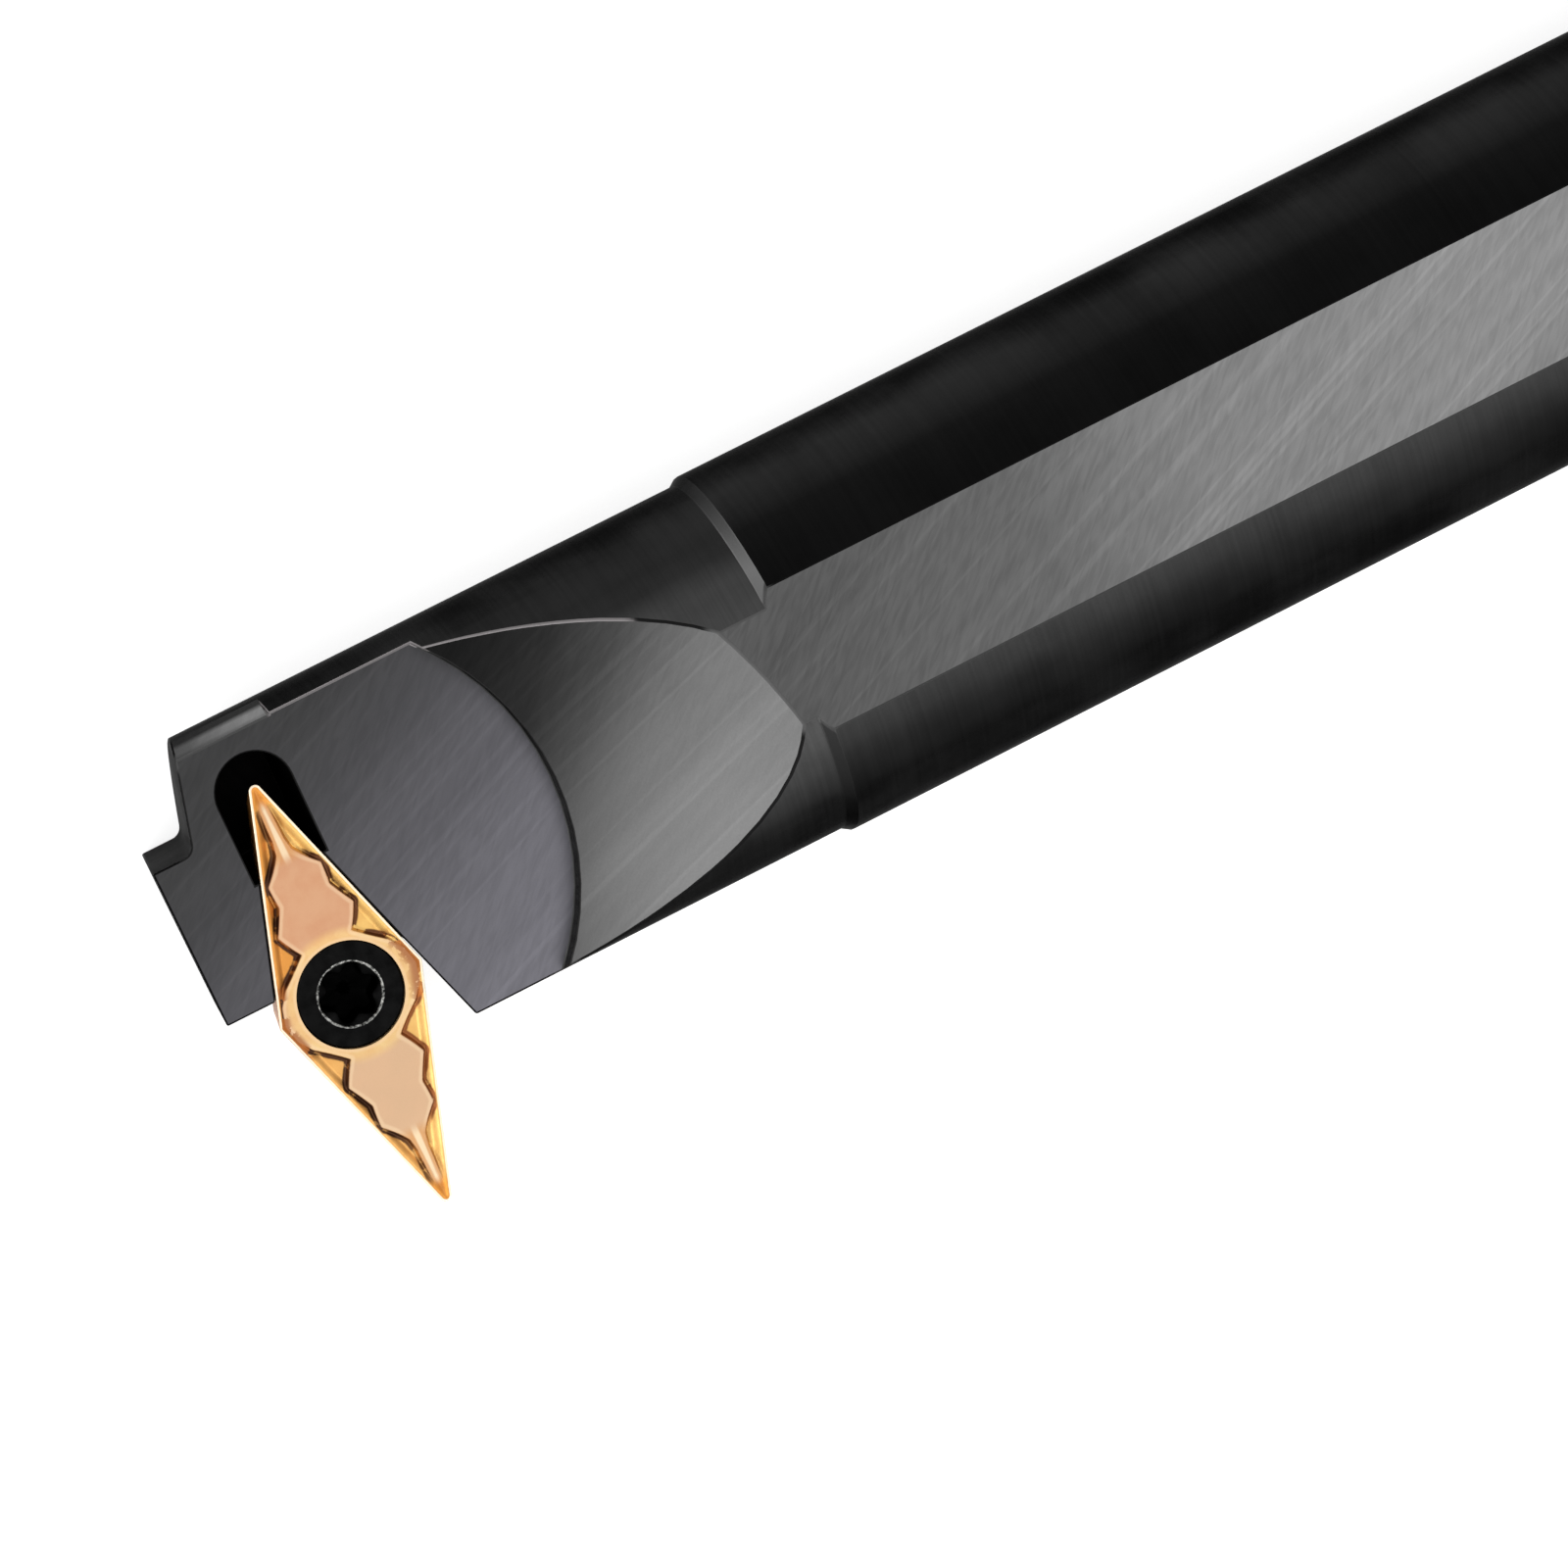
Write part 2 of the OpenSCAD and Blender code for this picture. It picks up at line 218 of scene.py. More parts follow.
def from_island(x, y):
    """Signed distance to the island's outline, positive on the island: the nearest of the many
    short pieces of that outline, in one quarter, since the insert is twice symmetrical."""
    run = np.linspace(-BEYOND_MIDDLE, TIP_R, OUTLINE_POINTS)
    bound = island_width(np.abs(run))
    line = np.stack([bound, run], axis=-1)
    p = np.stack([np.abs(x).ravel(), np.abs(y).ravel()], axis=-1)
    nearest = np.full(len(p), np.inf)
    for a, b in zip(line[:-1], line[1:]):
        step = b - a
        t = np.clip(((p - a) @ step) / (step @ step), 0, 1)
        nearest = np.minimum(nearest, np.linalg.norm(p - a - t[:, None] * step, axis=-1))
    inside = p[:, 0] < np.interp(p[:, 1], run, bound)
    return (np.where(inside, 1, -1) * nearest).reshape(np.shape(x))


print("the island is", round(2 * float(island_width(0.0)), 3), "mm wide at its middle")

# %% Height of the top
# The groove's run and depth, the run of the island's wall, and the height of its crown
GROOVE_RUN, GROOVE_DEEP = 0.62, 0.32
WALL_RUN, CROWN = 0.22, 0.08
# Height of the crown from the middle to a tip, as a share of the crown, and below 0 of the groove
RIDGE = np.array([
    (0.0, 0.0), (0.22, 0.0), (0.28, 1.0), (0.6, 1.0), (0.7, 0.2), (0.88, -0.3), (0.93, -1.0), (1.0, -1.0),
])


def smooth_step(t):
    """0 below 0, 1 above 1, and 3 t squared less 2 t cubed between."""
    t = np.clip(t, 0, 1)
    return t * t * (3 - 2 * t)


def relief(edge, island, y):
    """Height of the top. The groove falls from the land with an eased slope. The island stands on
    a steep wall over it, and its crown follows the table of heights."""
    groove = -GROOVE_DEEP * smooth_step((edge - LAND) / GROOVE_RUN)
    share = np.interp(np.abs(y) / TIP_R, RIDGE[:, 0], RIDGE[:, 1])
    crown = np.where(share > 0, share * CROWN, -share * groove)
    rise = smooth_step(1 + island / WALL_RUN)
    return groove + (np.maximum(crown, groove) - groove) * rise


print("the crown's table has", len(RIDGE), "places")

# %% Outline and top of the insert
# Points on each straight side, on each sharp and each blunt corner, and rows from the hole outwards
STRAIGHT_POINTS, TIP_POINTS, SIDE_POINTS, TOP_ROWS = 110, 9, 5, 130


def corner(centre, start, end, count):
    """An arc about the centre of a corner: centre + NOSE (cos angle, sin angle)."""
    angles = np.linspace(start, end, count)[:, None]
    return np.array(centre) + NOSE * np.hstack([np.cos(angles), np.sin(angles)])


def outline():
    """Points round the diamond: a quarter from a blunt corner to a sharp one, then its mirror
    image, then both again after half a turn."""
    side = corner([SIDE_CENTRE, 0], 0, HALF_ANGLE, SIDE_POINTS)
    tip = corner([0, TIP_CENTRE], HALF_ANGLE, math.pi / 2, TIP_POINTS)
    t = np.linspace(0, 1, STRAIGHT_POINTS)[1:-1, None]
    quarter = np.vstack([side, side[-1] + (tip[0] - side[-1]) * t, tip])
    mirrored = quarter[::-1] * [-1, 1]
    half = np.vstack([quarter, mirrored[1:]])
    return np.vstack([half, -half[1:-1]])


ring = outline()
around = len(ring)
radius = np.linalg.norm(ring, axis=1)
mouth_r = HEAD_D / 2 + HEAD_GAP
spread = np.linspace(0, 1, TOP_ROWS)[:, None]
reach_out = mouth_r + (radius - mouth_r) * spread
top_x, top_y = reach_out * ring[:, 0] / radius, reach_out * ring[:, 1] / radius
edge, island = from_edge(top_x, top_y), from_island(top_x, top_y)
top_z = relief(edge, island, top_y)
print("top of the insert:", top_x.shape, "points")
print("its heights run from", round(top_z.min(), 3), "to", round(top_z.max(), 3), "mm")

# %% Skin of the insert
# The rounding of the cutting edge, the break of the bore's edge, and the rows down the side
HONE, BREAK, FLANK_ROWS = 0.03, 0.1, 14
# Where the side ends over the bottom, the bottom's loops and ring, and the countersink's top
SIDE_END, BOTTOM_SHARES, BOTTOM_R, SINK_TOP = 0.12, (0.985, 0.93), 3.0, 0.08


def shrunk_by(depth):
    """How much smaller the outline is at a depth: 1 less 2 depth tan clearance / inscribed circle."""
    return 1 - 2 * depth * math.tan(CLEARANCE) / INSCRIBED


def loop_at(scale, z):
    """The outline shrunk towards the middle, at one height."""
    return np.column_stack([ring * scale, np.full(around, z)])


def circle_at(r, z):
    """A circle round the bore at one height, its points in line with those of the outline."""
    return np.column_stack([ring / radius[:, None] * r, np.full(around, z)])


# The last ring of the top lies lower and the one before it further in, so the edge is honed round
top = np.stack([top_x, top_y, top_z], axis=-1)
top[-1, :, 2] = -HONE
top[-1, :, :2] *= shrunk_by(HONE)
top[-2, :, :2] = top[-1, :, :2] * (1 - 0.6 * HONE / radius[:, None])
depths = np.linspace(2 * HONE, THICK - SIDE_END, FLANK_ROWS)
flank = [loop_at(shrunk_by(depth), -depth) for depth in depths]
bottom = [loop_at(shrunk_by(THICK) * share, -THICK) for share in BOTTOM_SHARES]
cone_top = -HEAD_SINK - HEAD_RIM + HEAD_GAP
cone_end = cone_top - (mouth_r - HOLE_D / 2) / math.tan(CONE_HALF)
# Radius and height of the rings from the bottom up the bore and out through the countersink
BORE_PROFILE = [
    (BOTTOM_R, -THICK), (HOLE_D / 2 + BREAK, -THICK), (HOLE_D / 2, -THICK + BREAK),
    (HOLE_D / 2, cone_end), (mouth_r, cone_top), (mouth_r, -SINK_TOP),
]
bore = [circle_at(r, z) for r, z in BORE_PROFILE]
skin = np.concatenate([top, np.array(flank + bottom + bore)])
print("skin of the insert:", len(skin), "rows of", around, "points")

# %% Insert
rows = len(skin)
closing = wrapped_faces(2, around)
closing = np.where(closing >= around, closing - around, closing + (rows - 1) * around)
insert = new_piece("cutting_insert", seated(skin), np.vstack([wrapped_faces(rows, around), closing]))


def masked(values, rest):
    """Values on the top's points, and one value for all that lies beyond them."""
    return np.concatenate([values.ravel(), np.full((rows - len(top)) * around, rest)])


write_mask(insert, "edge_mm", masked(edge, 0.0))
write_mask(insert, "island_mm", masked(island, -3.0))
write_mask(insert, "along_mm", skin[..., 1])
write_mask(insert, "across_mm", skin[..., 0])
write_mask(insert, "hole_mm", np.hypot(skin[..., 0], skin[..., 1]) - mouth_r)
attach(insert, "root")
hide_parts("insert")
print("cutting_insert:", len(insert.data.polygons), "faces")

# %% [markdown]
# The clamp screw.
#
# A small countersunk screw pulls the insert down and into the V of its pocket. Its head is a cone
# under a short rim, with a socket of six lobes, and its thread runs into the head of the bar. A
# cylinder with a screw modifier could carry the thread, but a formula is shorter: one grid, whose
# columns go round and whose rows run from the socket's floor up its walls, over the head and down
# the thread to the point. Only the radius changes with the angle, by a wave with six crests in the
# socket and by a helix on the thread.

# %% Socket of the screw
# The screw's thickness and length, and how many points each row has
SCREW_D, SCREW_L, COLUMNS = 4.0, 11.0, 96
# The socket: its depth, the mean of its radius, its lobes, and the hollow of its floor
SOCKET_DEPTH, SOCKET_MEAN, LOBES, LOBE_DEEP, HOLLOW = 1.9, 1.72, 6, 0.24, 0.3
# Its mouth is round: its radius, where it starts to open below the face, and how far it rises
SOCKET_RIM, LIP, LIP_RISE, LIP_ROWS = 2.12, 0.34, 0.33, 6
# Rows of its floor, as shares of its radius, and rows of its wall, as depths below the face
FLOOR_SHARES = np.array([0.02, 0.35, 0.75, 0.97])
WALL_DEPTHS = np.array([SOCKET_DEPTH - 0.05, 1.2, 0.5, LIP])
angle = np.linspace(0, 2 * math.pi, COLUMNS, endpoint=False)[None, :]


def turned(r, z):
    """A ring of points at each row: the radius may change with the angle, the height may not."""
    r, z = np.broadcast_arrays(r, np.asarray(z, float)[:, None] + 0 * angle)
    return np.stack([r * np.cos(angle), r * np.sin(angle), z], axis=-1)


# Radius of the socket: mean + deep wave, where wave = cos(6 angle), a little flat at the crests
wave = np.cos(LOBES * angle)
lobed = SOCKET_MEAN + LOBE_DEEP * wave * (1 - 0.15 * wave)
face_z = -HEAD_SINK
floor = turned(lobed * FLOOR_SHARES[:, None], face_z - SOCKET_DEPTH - HOLLOW * (1 - FLOOR_SHARES))
walls = turned(lobed, face_z - WALL_DEPTHS)
blend = np.linspace(0.15, 1, LIP_ROWS)[:, None]
lip = turned(lobed * (1 - blend) + SOCKET_RIM * blend, face_z - LIP + LIP_RISE * blend[:, 0])
print("socket:", round(2 * lobed.min(), 2), "to", round(2 * lobed.max(), 2), "mm across its lobes")

# %% Head and thread of the screw
HEAD_R, SHANK_R = HEAD_D / 2, SCREW_D / 2
# Radius and height over the face, from the socket's mouth out over the rim and down the cone
HEAD_PROFILE = np.array([
    (SOCKET_RIM + 0.03, 0.0), (2.3, 0.0), (2.8, 0.0), (HEAD_R - 0.16, 0.0), (HEAD_R - 0.1, -0.01),
    (HEAD_R - 0.04, -0.04), (HEAD_R - 0.01, -0.09), (HEAD_R, -0.14), (HEAD_R, -HEAD_RIM),
    (SHANK_R, -HEAD_RIM - (HEAD_R - SHANK_R) / math.tan(CONE_HALF)),
])
# Radius and height over the end of the thread, down the screw's point
POINT_PROFILE = np.array([(SHANK_R - 0.02, -0.1), (SHANK_R - 0.4, -0.48), (0.6, -0.5), (0.04, -0.5)])
# The thread: its pitch and depth, its rows in a turn, and the run over which it fades at its end
PITCH, THREAD_DEEP, ROWS_PER_TURN, RUN_OUT = 0.7, 0.42, 12, 0.3
# The plain neck between the head and the thread, and the plain point below it
PLAIN_NECK, POINT_L = 0.4, 0.5

head = turned(HEAD_PROFILE[:, :1], face_z + HEAD_PROFILE[:, 1])
thread_top, thread_end = head[-1, 0, 2] - PLAIN_NECK, face_z - SCREW_L + POINT_L
thread_z = np.linspace(thread_top, thread_end, ROWS_PER_TURN * int((thread_top - thread_end) / PITCH))
# A helix: the share of a turn, its crest in the middle, and how far down the groove has come
turns = (thread_z[:, None] / PITCH - angle / (2 * math.pi)) % 1
groove = np.clip(2.4 * np.abs(turns - 0.5) - 0.1, 0, 1)
fade = smooth_step((thread_top - thread_z) / PITCH) * smooth_step((thread_z - thread_end) / RUN_OUT)
thread = turned(SHANK_R - THREAD_DEEP * groove * fade[:, None], thread_z)
point = turned(POINT_PROFILE[:, :1], thread_end + POINT_PROFILE[:, 1])
print("thread:", len(thread), "rows over", round(thread_top - thread_end, 2), "mm")

# %% Screw
skin = np.concatenate([floor, walls, lip, head, thread, point])
rows = len(skin)
quads = wrapped_faces(rows, COLUMNS)[:, ::-1]
caps = [range(COLUMNS), range(rows * COLUMNS - 1, (rows - 1) * COLUMNS - 1, -1)]
screw = new_piece("clamp_screw", seated(skin), quads, caps)
write_mask(screw, "ring_mm", np.hypot(skin[..., 0], skin[..., 1]))
write_mask(screw, "deep_mm", face_z - skin[..., 2])
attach(screw, "root")
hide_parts("insert_screw")
print("clamp_screw:", len(screw.data.polygons), "faces")

# %% [markdown]
# The bar.
#
# Its shape is the CAD node's, but a real edge is never quite sharp: it is stoned off after
# grinding, and that thin bevel catches the light. So a copy of the node is merged into one closed
# skin, its flat facets are joined again, and a Bevel modifier rounds only the edges that the
# copy marks. The faces are sorted by where they look and how they were machined: the ground
# flats, the milled top of the head, the turned ramp that climbs from it, the pocket, and the
# blackened round of the rest. The narrow bevels and the shoulder share a last finish.

# %% Finish of each face
BLACK, GROUND, FACE, RAMP, POCKET, EDGE = range(6)
# In metres: where the head starts, the shoulder's run, and what lies on a flat or under the skin
HEAD_START, SHOULDER, FLAT_Z, SKIN_R = 0.2, (0.2086, 0.2092), 0.0114, 0.0117
# The scoop: its radius, its middle, the height of its wall, and the slope of the ramp over it
SCOOP_R, SCOOP_Y, WALL_H, SLOPE = 0.0173, 0.0005, 0.0011, math.radians(28)
# The small ground facet on the head's back side: where it starts, and the way it looks
FACET_START, FACET_LEAN = 0.2392, math.radians(17)
FACET_UP = Vector((0, -math.cos(FACET_LEAN), math.sin(FACET_LEAN)))
# How near is near enough: to a plane and to a curved face in metres, and to the same direction
ON_PLANE, ON_CURVE, SAME_WAY, NEARLY_SAME = 2e-5, 1e-4, 0.9999, 0.999
# How far a face looks upwards on the walls and the floor of the pocket, and forwards on the shoulder
UPRIGHT, LEVEL, BEVELLED = (-0.01, 0.2), 0.9, (0.3, 0.9)

tilt = Vector((0, math.sin(RAKE), math.cos(RAKE)))
seat = Vector((BAR_L - INSERT_X, SEAT_Y, SEAT_Z)) * MM
scoop_axis = Vector((seat.x, SCOOP_Y, (REACH * MM - SCOOP_Y) * math.tan(RAKE)))


def zone(face):
    """How a face was machined, from where it lies and looks: over is its height above the plane of
    the head's top, and out its distance from the axis of the scoop. The ramp is the cone on which
    over = WALL_H + (out - SCOOP_R) tan SLOPE."""
    centre, up = face.calc_center_median(), face.normal
    over = (centre - scoop_axis).dot(tilt)
    out = (centre - scoop_axis - over * tilt).length
    lean = up.dot(tilt)
    in_head = centre.x > HEAD_START and math.hypot(centre.y, centre.z) < SKIN_R
    flat = abs(up.z) > SAME_WAY and abs(centre.z) > FLAT_Z
    facet = centre.x > FACET_START and up.dot(FACET_UP) > SAME_WAY
    scoop_wall = abs(out - SCOOP_R) < ON_CURVE and over > 0
    pocket_wall = in_head and over < 0 and UPRIGHT[0] < lean < UPRIGHT[1]
    pocket_floor = in_head and lean > LEVEL
    shoulder = SHOULDER[0] < centre.x < SHOULDER[1] and BEVELLED[0] < up.x < BEVELLED[1]
    cone = WALL_H + (out - SCOOP_R) * math.tan(SLOPE)
    finishes = (
        (flat or facet, GROUND),
        (shoulder, EDGE),
        (abs(over) < ON_PLANE and lean > NEARLY_SAME, FACE),
        (over > WALL_H and abs(over - cone) < ON_CURVE, RAMP),
        (scoop_wall or pocket_wall or pocket_floor, POCKET),
    )
    return next((finish for holds, finish in finishes if holds), BLACK)


print("axis of the scoop at", [round(1000 * c, 3) for c in scoop_axis])

# %% Copy of the bar
# Points closer than this are one, and facets that turn by less than this are one face
MERGE, FLAT_WITHIN = 2e-6, math.radians(0.3)
# An edge that turns by more than this is stoned off, with a share of the full width of the bevel
SHARP, SHARE_SHOULDER, SHARE_SHANK, SHARE_HEAD = math.radians(14), 0.35, 0.5, 1.0
NEAR_SHOULDER = 1e-5

shape = bmesh.new()
shape.from_mesh(frame["nodes"]["bar"].data)
bmesh.ops.remove_doubles(shape, verts=shape.verts, dist=MERGE)
bmesh.ops.dissolve_limit(shape, angle_limit=FLAT_WITHIN, verts=shape.verts, edges=shape.edges)
shape.normal_update()
for face in shape.faces:
    face.material_index = zone(face)
    face.smooth = True
bevel_weight = shape.edges.layers.float.new("bevel_weight_edge")
for line in shape.edges:
    sharp = line.calc_face_angle(0) > SHARP
    along = (line.verts[0].co.x + line.verts[1].co.x) / 2
    by_shoulder = SHOULDER[0] - NEAR_SHOULDER < along < SHOULDER[1] + NEAR_SHOULDER
    share = SHARE_SHOULDER if by_shoulder else SHARE_HEAD if along > HEAD_START else SHARE_SHANK
    line[bevel_weight] = share if sharp else 0.0
    line.smooth = not sharp and len({face.material_index for face in line.link_faces}) == 1
mesh = bpy.data.meshes.new("bar_body")
shape.to_mesh(mesh)
zones = np.bincount([face.material_index for face in shape.faces], minlength=6)
print("bar_body:", len(shape.verts), "points,", len(shape.faces), "faces before the bevel")
print("faces by finish:", zones.tolist())
shape.free()

# %% Bar
BEVEL_WIDTH, BEVEL_SEGMENTS = 0.00012, 2

bar = bpy.data.objects.new("bar_body", mesh)
bpy.context.scene.collection.objects.link(bar)
bevel = bar.modifiers.new("Stoned edges", "BEVEL")
bevel.limit_method = "WEIGHT"
bevel.width = BEVEL_WIDTH
bevel.segments = BEVEL_SEGMENTS
bevel.use_clamp_overlap = False
bevel.material = EDGE
weighted = bar.modifiers.new("Flat faces stay flat", "WEIGHTED_NORMAL")
weighted.mode = "FACE_AREA"
weighted.keep_sharp = True
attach(bar, "root")
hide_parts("bar")
print("bar_body: bevels of", round(1000 * BEVEL_WIDTH, 2), "mm")

# %% [markdown]
# Helpers for materials.
#
# A material is a small graph of nodes. Written out by hand it takes many lines, so a few helpers
# keep it readable. Some add a node with its settings and inputs, where an input is a plain value
# or the output of another node. Some make masks, numbers from 0 to 1 that say where a finish lies.
# Others mix colours. The masks are functions of a place, so the finish stays where it belongs from
# every side.

# %% Nodes
def new_material(name):
    """A node material and its shader."""
    material = bpy.data.materials.new(name)
    material.use_nodes = True
    return material, material.node_tree, material.node_tree.nodes["Principled BSDF"]


def add(tree, kind, settings=None, **inputs):
    """A node with its settings and its inputs: an input is a value or another node's output."""
    node = tree.nodes.new(kind)
    for key, value in (settings or {}).items():
        setattr(node, key, value)
    for key, value in inputs.items():
        by_number = key[0] == "i" and key[1:].isdigit()
        socket = node.inputs[int(key[1:])] if by_number else node.inputs[key.replace("_", " ")]
        if isinstance(value, bpy.types.NodeSocket):
            tree.links.new(value, socket)
        else:
            socket.default_value = value
    return node


def maths(tree, operation, a, b=0.0, c=0.0):
    """One operation on up to three values, kept within 0 and 1 where its name ends with !."""
    clamp = operation.endswith("!")
    settings = {"operation": operation.rstrip("!"), "use_clamp": clamp}
    return add(tree, "ShaderNodeMath", settings, i0=a, i1=b, i2=c).outputs[0]


def noise(tree, place, scale, detail, roughness=0.5, distortion=0.0):
    """A soft random pattern round 0.5, so many cells to a metre."""
    return add(tree, "ShaderNodeTexNoise", Vector=place, Scale=scale, Detail=detail,
               Roughness=roughness, Distortion=distortion).outputs["Fac"]


def attribute(tree, name):
    """A number stored on the mesh."""
    return add(tree, "ShaderNodeAttribute", {"attribute_name": name}).outputs["Fac"]


def feed(tree, shader, **inputs):
    """Feeds outputs of nodes to the shader's inputs."""
    for key, value in inputs.items():
        tree.links.new(value, shader.inputs[key.replace("_", " ")])


def bumped(tree, shader, height, distance, strength):
    """Feeds a height through a Bump node to the shader."""
    node = add(tree, "ShaderNodeBump", Height=height, Distance=distance, Strength=strength)
    feed(tree, shader, Normal=node.outputs["Normal"])


print("helpers for nodes are ready")


# %% Masks
def within(tree, value, low, high, to_low=0.0, to_high=1.0):
    """Eases a value that runs from low to high into one that runs from to_low to to_high."""
    node = add(tree, "ShaderNodeMapRange", {"interpolation_type": "SMOOTHSTEP"},
               i0=value, i1=low, i2=high, i3=to_low, i4=to_high)
    return node.outputs[0]


def even(tree, value, low, high):
    """How far a value has come from low to high, from 0 to 1."""
    return add(tree, "ShaderNodeMapRange", i0=value, i1=low, i2=high).outputs[0]


def all_of(tree, *masks):
    """The product of several masks."""
    product = masks[0]
    for mask in masks[1:]:
        product = maths(tree, "MULTIPLY", product, mask)
    return product


def object_place(tree):
    """Where a point lies in the object's frame, in metres, whole and as x, y and z."""
    place = add(tree, "ShaderNodeTexCoord").outputs["Object"]
    parts = add(tree, "ShaderNodeSeparateXYZ", i0=place).outputs
    return place, parts[0], parts[1], parts[2]


def from_axis(tree, y, z):
    """Distance from the bar's axis: the length of (0, y, z)."""
    across = add(tree, "ShaderNodeCombineXYZ", i1=y, i2=z).outputs[0]
    return add(tree, "ShaderNodeVectorMath", {"operation": "LENGTH"}, i0=across).outputs["Value"]


def from_scoop_axis(tree, x, y):
    """Distance from the upright line through the middle of the scoop, measured in x and y."""
    flat = add(tree, "ShaderNodeCombineXYZ", i0=x, i1=y).outputs[0]
    middle = (scoop_axis.x, scoop_axis.y, 0.0)
    node = add(tree, "ShaderNodeVectorMath", {"operation": "DISTANCE"}, i0=flat, i1=middle)
    return node.outputs["Value"]


print("helpers for masks are ready")


# %% Colours
def grey(level):
    """A grey as a colour."""
    return (level, level, level)


def mix(tree, factor, a, b):
    """Two colours mixed by a factor."""
    node = tree.nodes.new("ShaderNodeMix")
    node.data_type = "RGBA"
    for socket, value in ((node.inputs[0], factor), (node.inputs[6], a), (node.inputs[7], b)):
        if isinstance(value, bpy.types.NodeSocket):
            tree.links.new(value, socket)
        else:
            socket.default_value = value if socket is node.inputs[0] else (*value, 1)
    return node.outputs[2]


def laid_over(tree, base, mask, strength, colour):
    """A base colour with another laid over it where the mask says, at a given strength."""
    return mix(tree, maths(tree, "MULTIPLY", mask, strength), base, colour)


def tinted(tree, colour, value):
    """A colour times a value."""
    scaled = add(tree, "ShaderNodeVectorMath", {"operation": "SCALE"}, i0=colour)
    tree.links.new(value, scaled.inputs["Scale"])
    return scaled.outputs[0]


def greys(tree, factor, stops):
    """A ramp of greys: each stop is a place and a level."""
    node = add(tree, "ShaderNodeValToRGB", i0=factor)
    elements = node.color_ramp.elements
    while len(elements) < len(stops):
        elements.new(0.5)
    for element, (place, level) in zip(elements, stops):
        element.position = place
        element.color = (*grey(level), 1)
    return node.outputs["Color"]


print("helpers for colours are ready")

# %% [markdown]
# Shared effects.
#
# Three things come back on the finishes here, so each is a node group that is built once. Grinding
# lines are noise pulled out along one direction: the grit leaves long scratches at an even slant.
# Blackening is never even either: the salt bath leaves soft clouds and a fine grain. And wherever
# something rubs, a coat wears in patches, not in a clean stripe; the same patches also break up
# some painted highlights.

# %% Node groups
def new_group(name, inputs, outputs):
    """A node group with its sockets: inputs are names and start values, outputs are names."""
    group = bpy.data.node_groups.new(name, "ShaderNodeTree")
    for label, value in inputs.items():
        kind = "NodeSocketVector" if label == "Place" else "NodeSocketFloat"
        socket = group.interface.new_socket(label, in_out="INPUT", socket_type=kind)
        if kind == "NodeSocketFloat":
            socket.default_value = value
    for label in outputs:
        group.interface.new_socket(label, in_out="OUTPUT", socket_type="NodeSocketFloat")
    return group, group.nodes.new("NodeGroupInput").outputs, group.nodes.new("NodeGroupOutput").inputs


def effect(tree, group, place, **values):
    """Places a group in a material, with its own values."""
    return add(tree, "ShaderNodeGroup", {"node_tree": group}, Place=place, **values).outputs


lines_group, given, result = new_group(
    "Grinding lines", {"Place": None, "Slant": 0.4, "Spacing": 0.001, "Run": 0.02, "Wave": 0.3}, ["Lines"])
slanted = add(lines_group, "ShaderNodeVectorRotate", {"rotation_type": "Z_AXIS"},
              Vector=given["Place"], Angle=given["Slant"]).outputs[0]
stretch = add(lines_group, "ShaderNodeCombineXYZ",
              i0=given["Run"], i1=given["Spacing"], i2=given["Run"]).outputs[0]
pulled = add(lines_group, "ShaderNodeVectorMath", {"operation": "DIVIDE"},
             i0=slanted, i1=stretch).outputs[0]
pattern = noise(lines_group, pulled, 1.0, 1.5, 0.45, given["Wave"])
lines_group.links.new(within(lines_group, pattern, 0.25, 0.75), result["Lines"])

cloud_group, given, result = new_group(
    "Blackening", {"Place": None, "Cloud": 0.006, "Grain": 0.00012}, ["Cloud", "Grain"])
for label, detail in (("Cloud", 4.0), ("Grain", 2.0)):
    cells = maths(cloud_group, "DIVIDE", 1.0, given[label])
    pattern = noise(cloud_group, given["Place"], cells, detail, 0.55)
    cloud_group.links.new(within(cloud_group, pattern, 0.3, 0.7), result[label])

wear_group, given, result = new_group("Wear", {"Place": None, "Amount": 1.0, "Patch": 0.0012}, ["Worn"])
pattern = noise(wear_group, given["Place"], maths(wear_group, "DIVIDE", 1.0, given["Patch"]), 3.0)
patchy = maths(wear_group, "ADD", given["Amount"], maths(wear_group, "SUBTRACT", pattern, 0.5))
wear_group.links.new(within(wear_group, patchy, 0.25, 0.75), result["Worn"])


def marks(tree, place, slant, spacing, run, wave):
    """One set of parallel marks: their slant, how far apart they lie, how long they run, and how
    much they waver."""
    return effect(tree, lines_group, place, Slant=slant, Spacing=spacing, Run=run, Wave=wave)["Lines"]


print("node groups:", lines_group.name + ",", cloud_group.name + ",", wear_group.name)

# %% [markdown]
# Blackened steel.
#
# The shank is turned, ground and blackened. The oxide is a thin dark layer on metal, so the
# reflections are metallic but weak. That is a metallic shader with a very dark base colour, and a
# dark edge tint, because otherwise every metal turns white at a glancing angle. Lamps alone would
# have to stand in many places to draw the soft light and dark bands of such a bar, so these bands
# are painted light and painted shade in the base colour: its tone changes with the angle round the
# bar, on the shank and on the neck. The inner faces of the head are painted darker as shade, the
# face behind the step darkest, and the rear end face shows the rings of its turning.

# %% Blackened steel
# Painted light and shade round the bar: an angle from the top, in degrees, positive towards the
# cutting tip, and a level
SHANK_PAINTED_BANDS = [
    (-180, 0.016), (-90, 0.020), (-62, 0.021), (-51, 0.011), (-43, 0.0050), (-23, 0.0044),
    (23, 0.030), (38, 0.018), (50, 0.014), (62, 0.022), (90, 0.026), (180, 0.016),
]
NECK_PAINTED_BANDS = [
    (-180, 0.016), (-90, 0.028), (-62, 0.020), (-47, 0.012), (-40, 0.015), (-31, 0.038),
    (-21, 0.048), (21, 0.048), (36, 0.042), (50, 0.020), (90, 0.020), (180, 0.016),
]
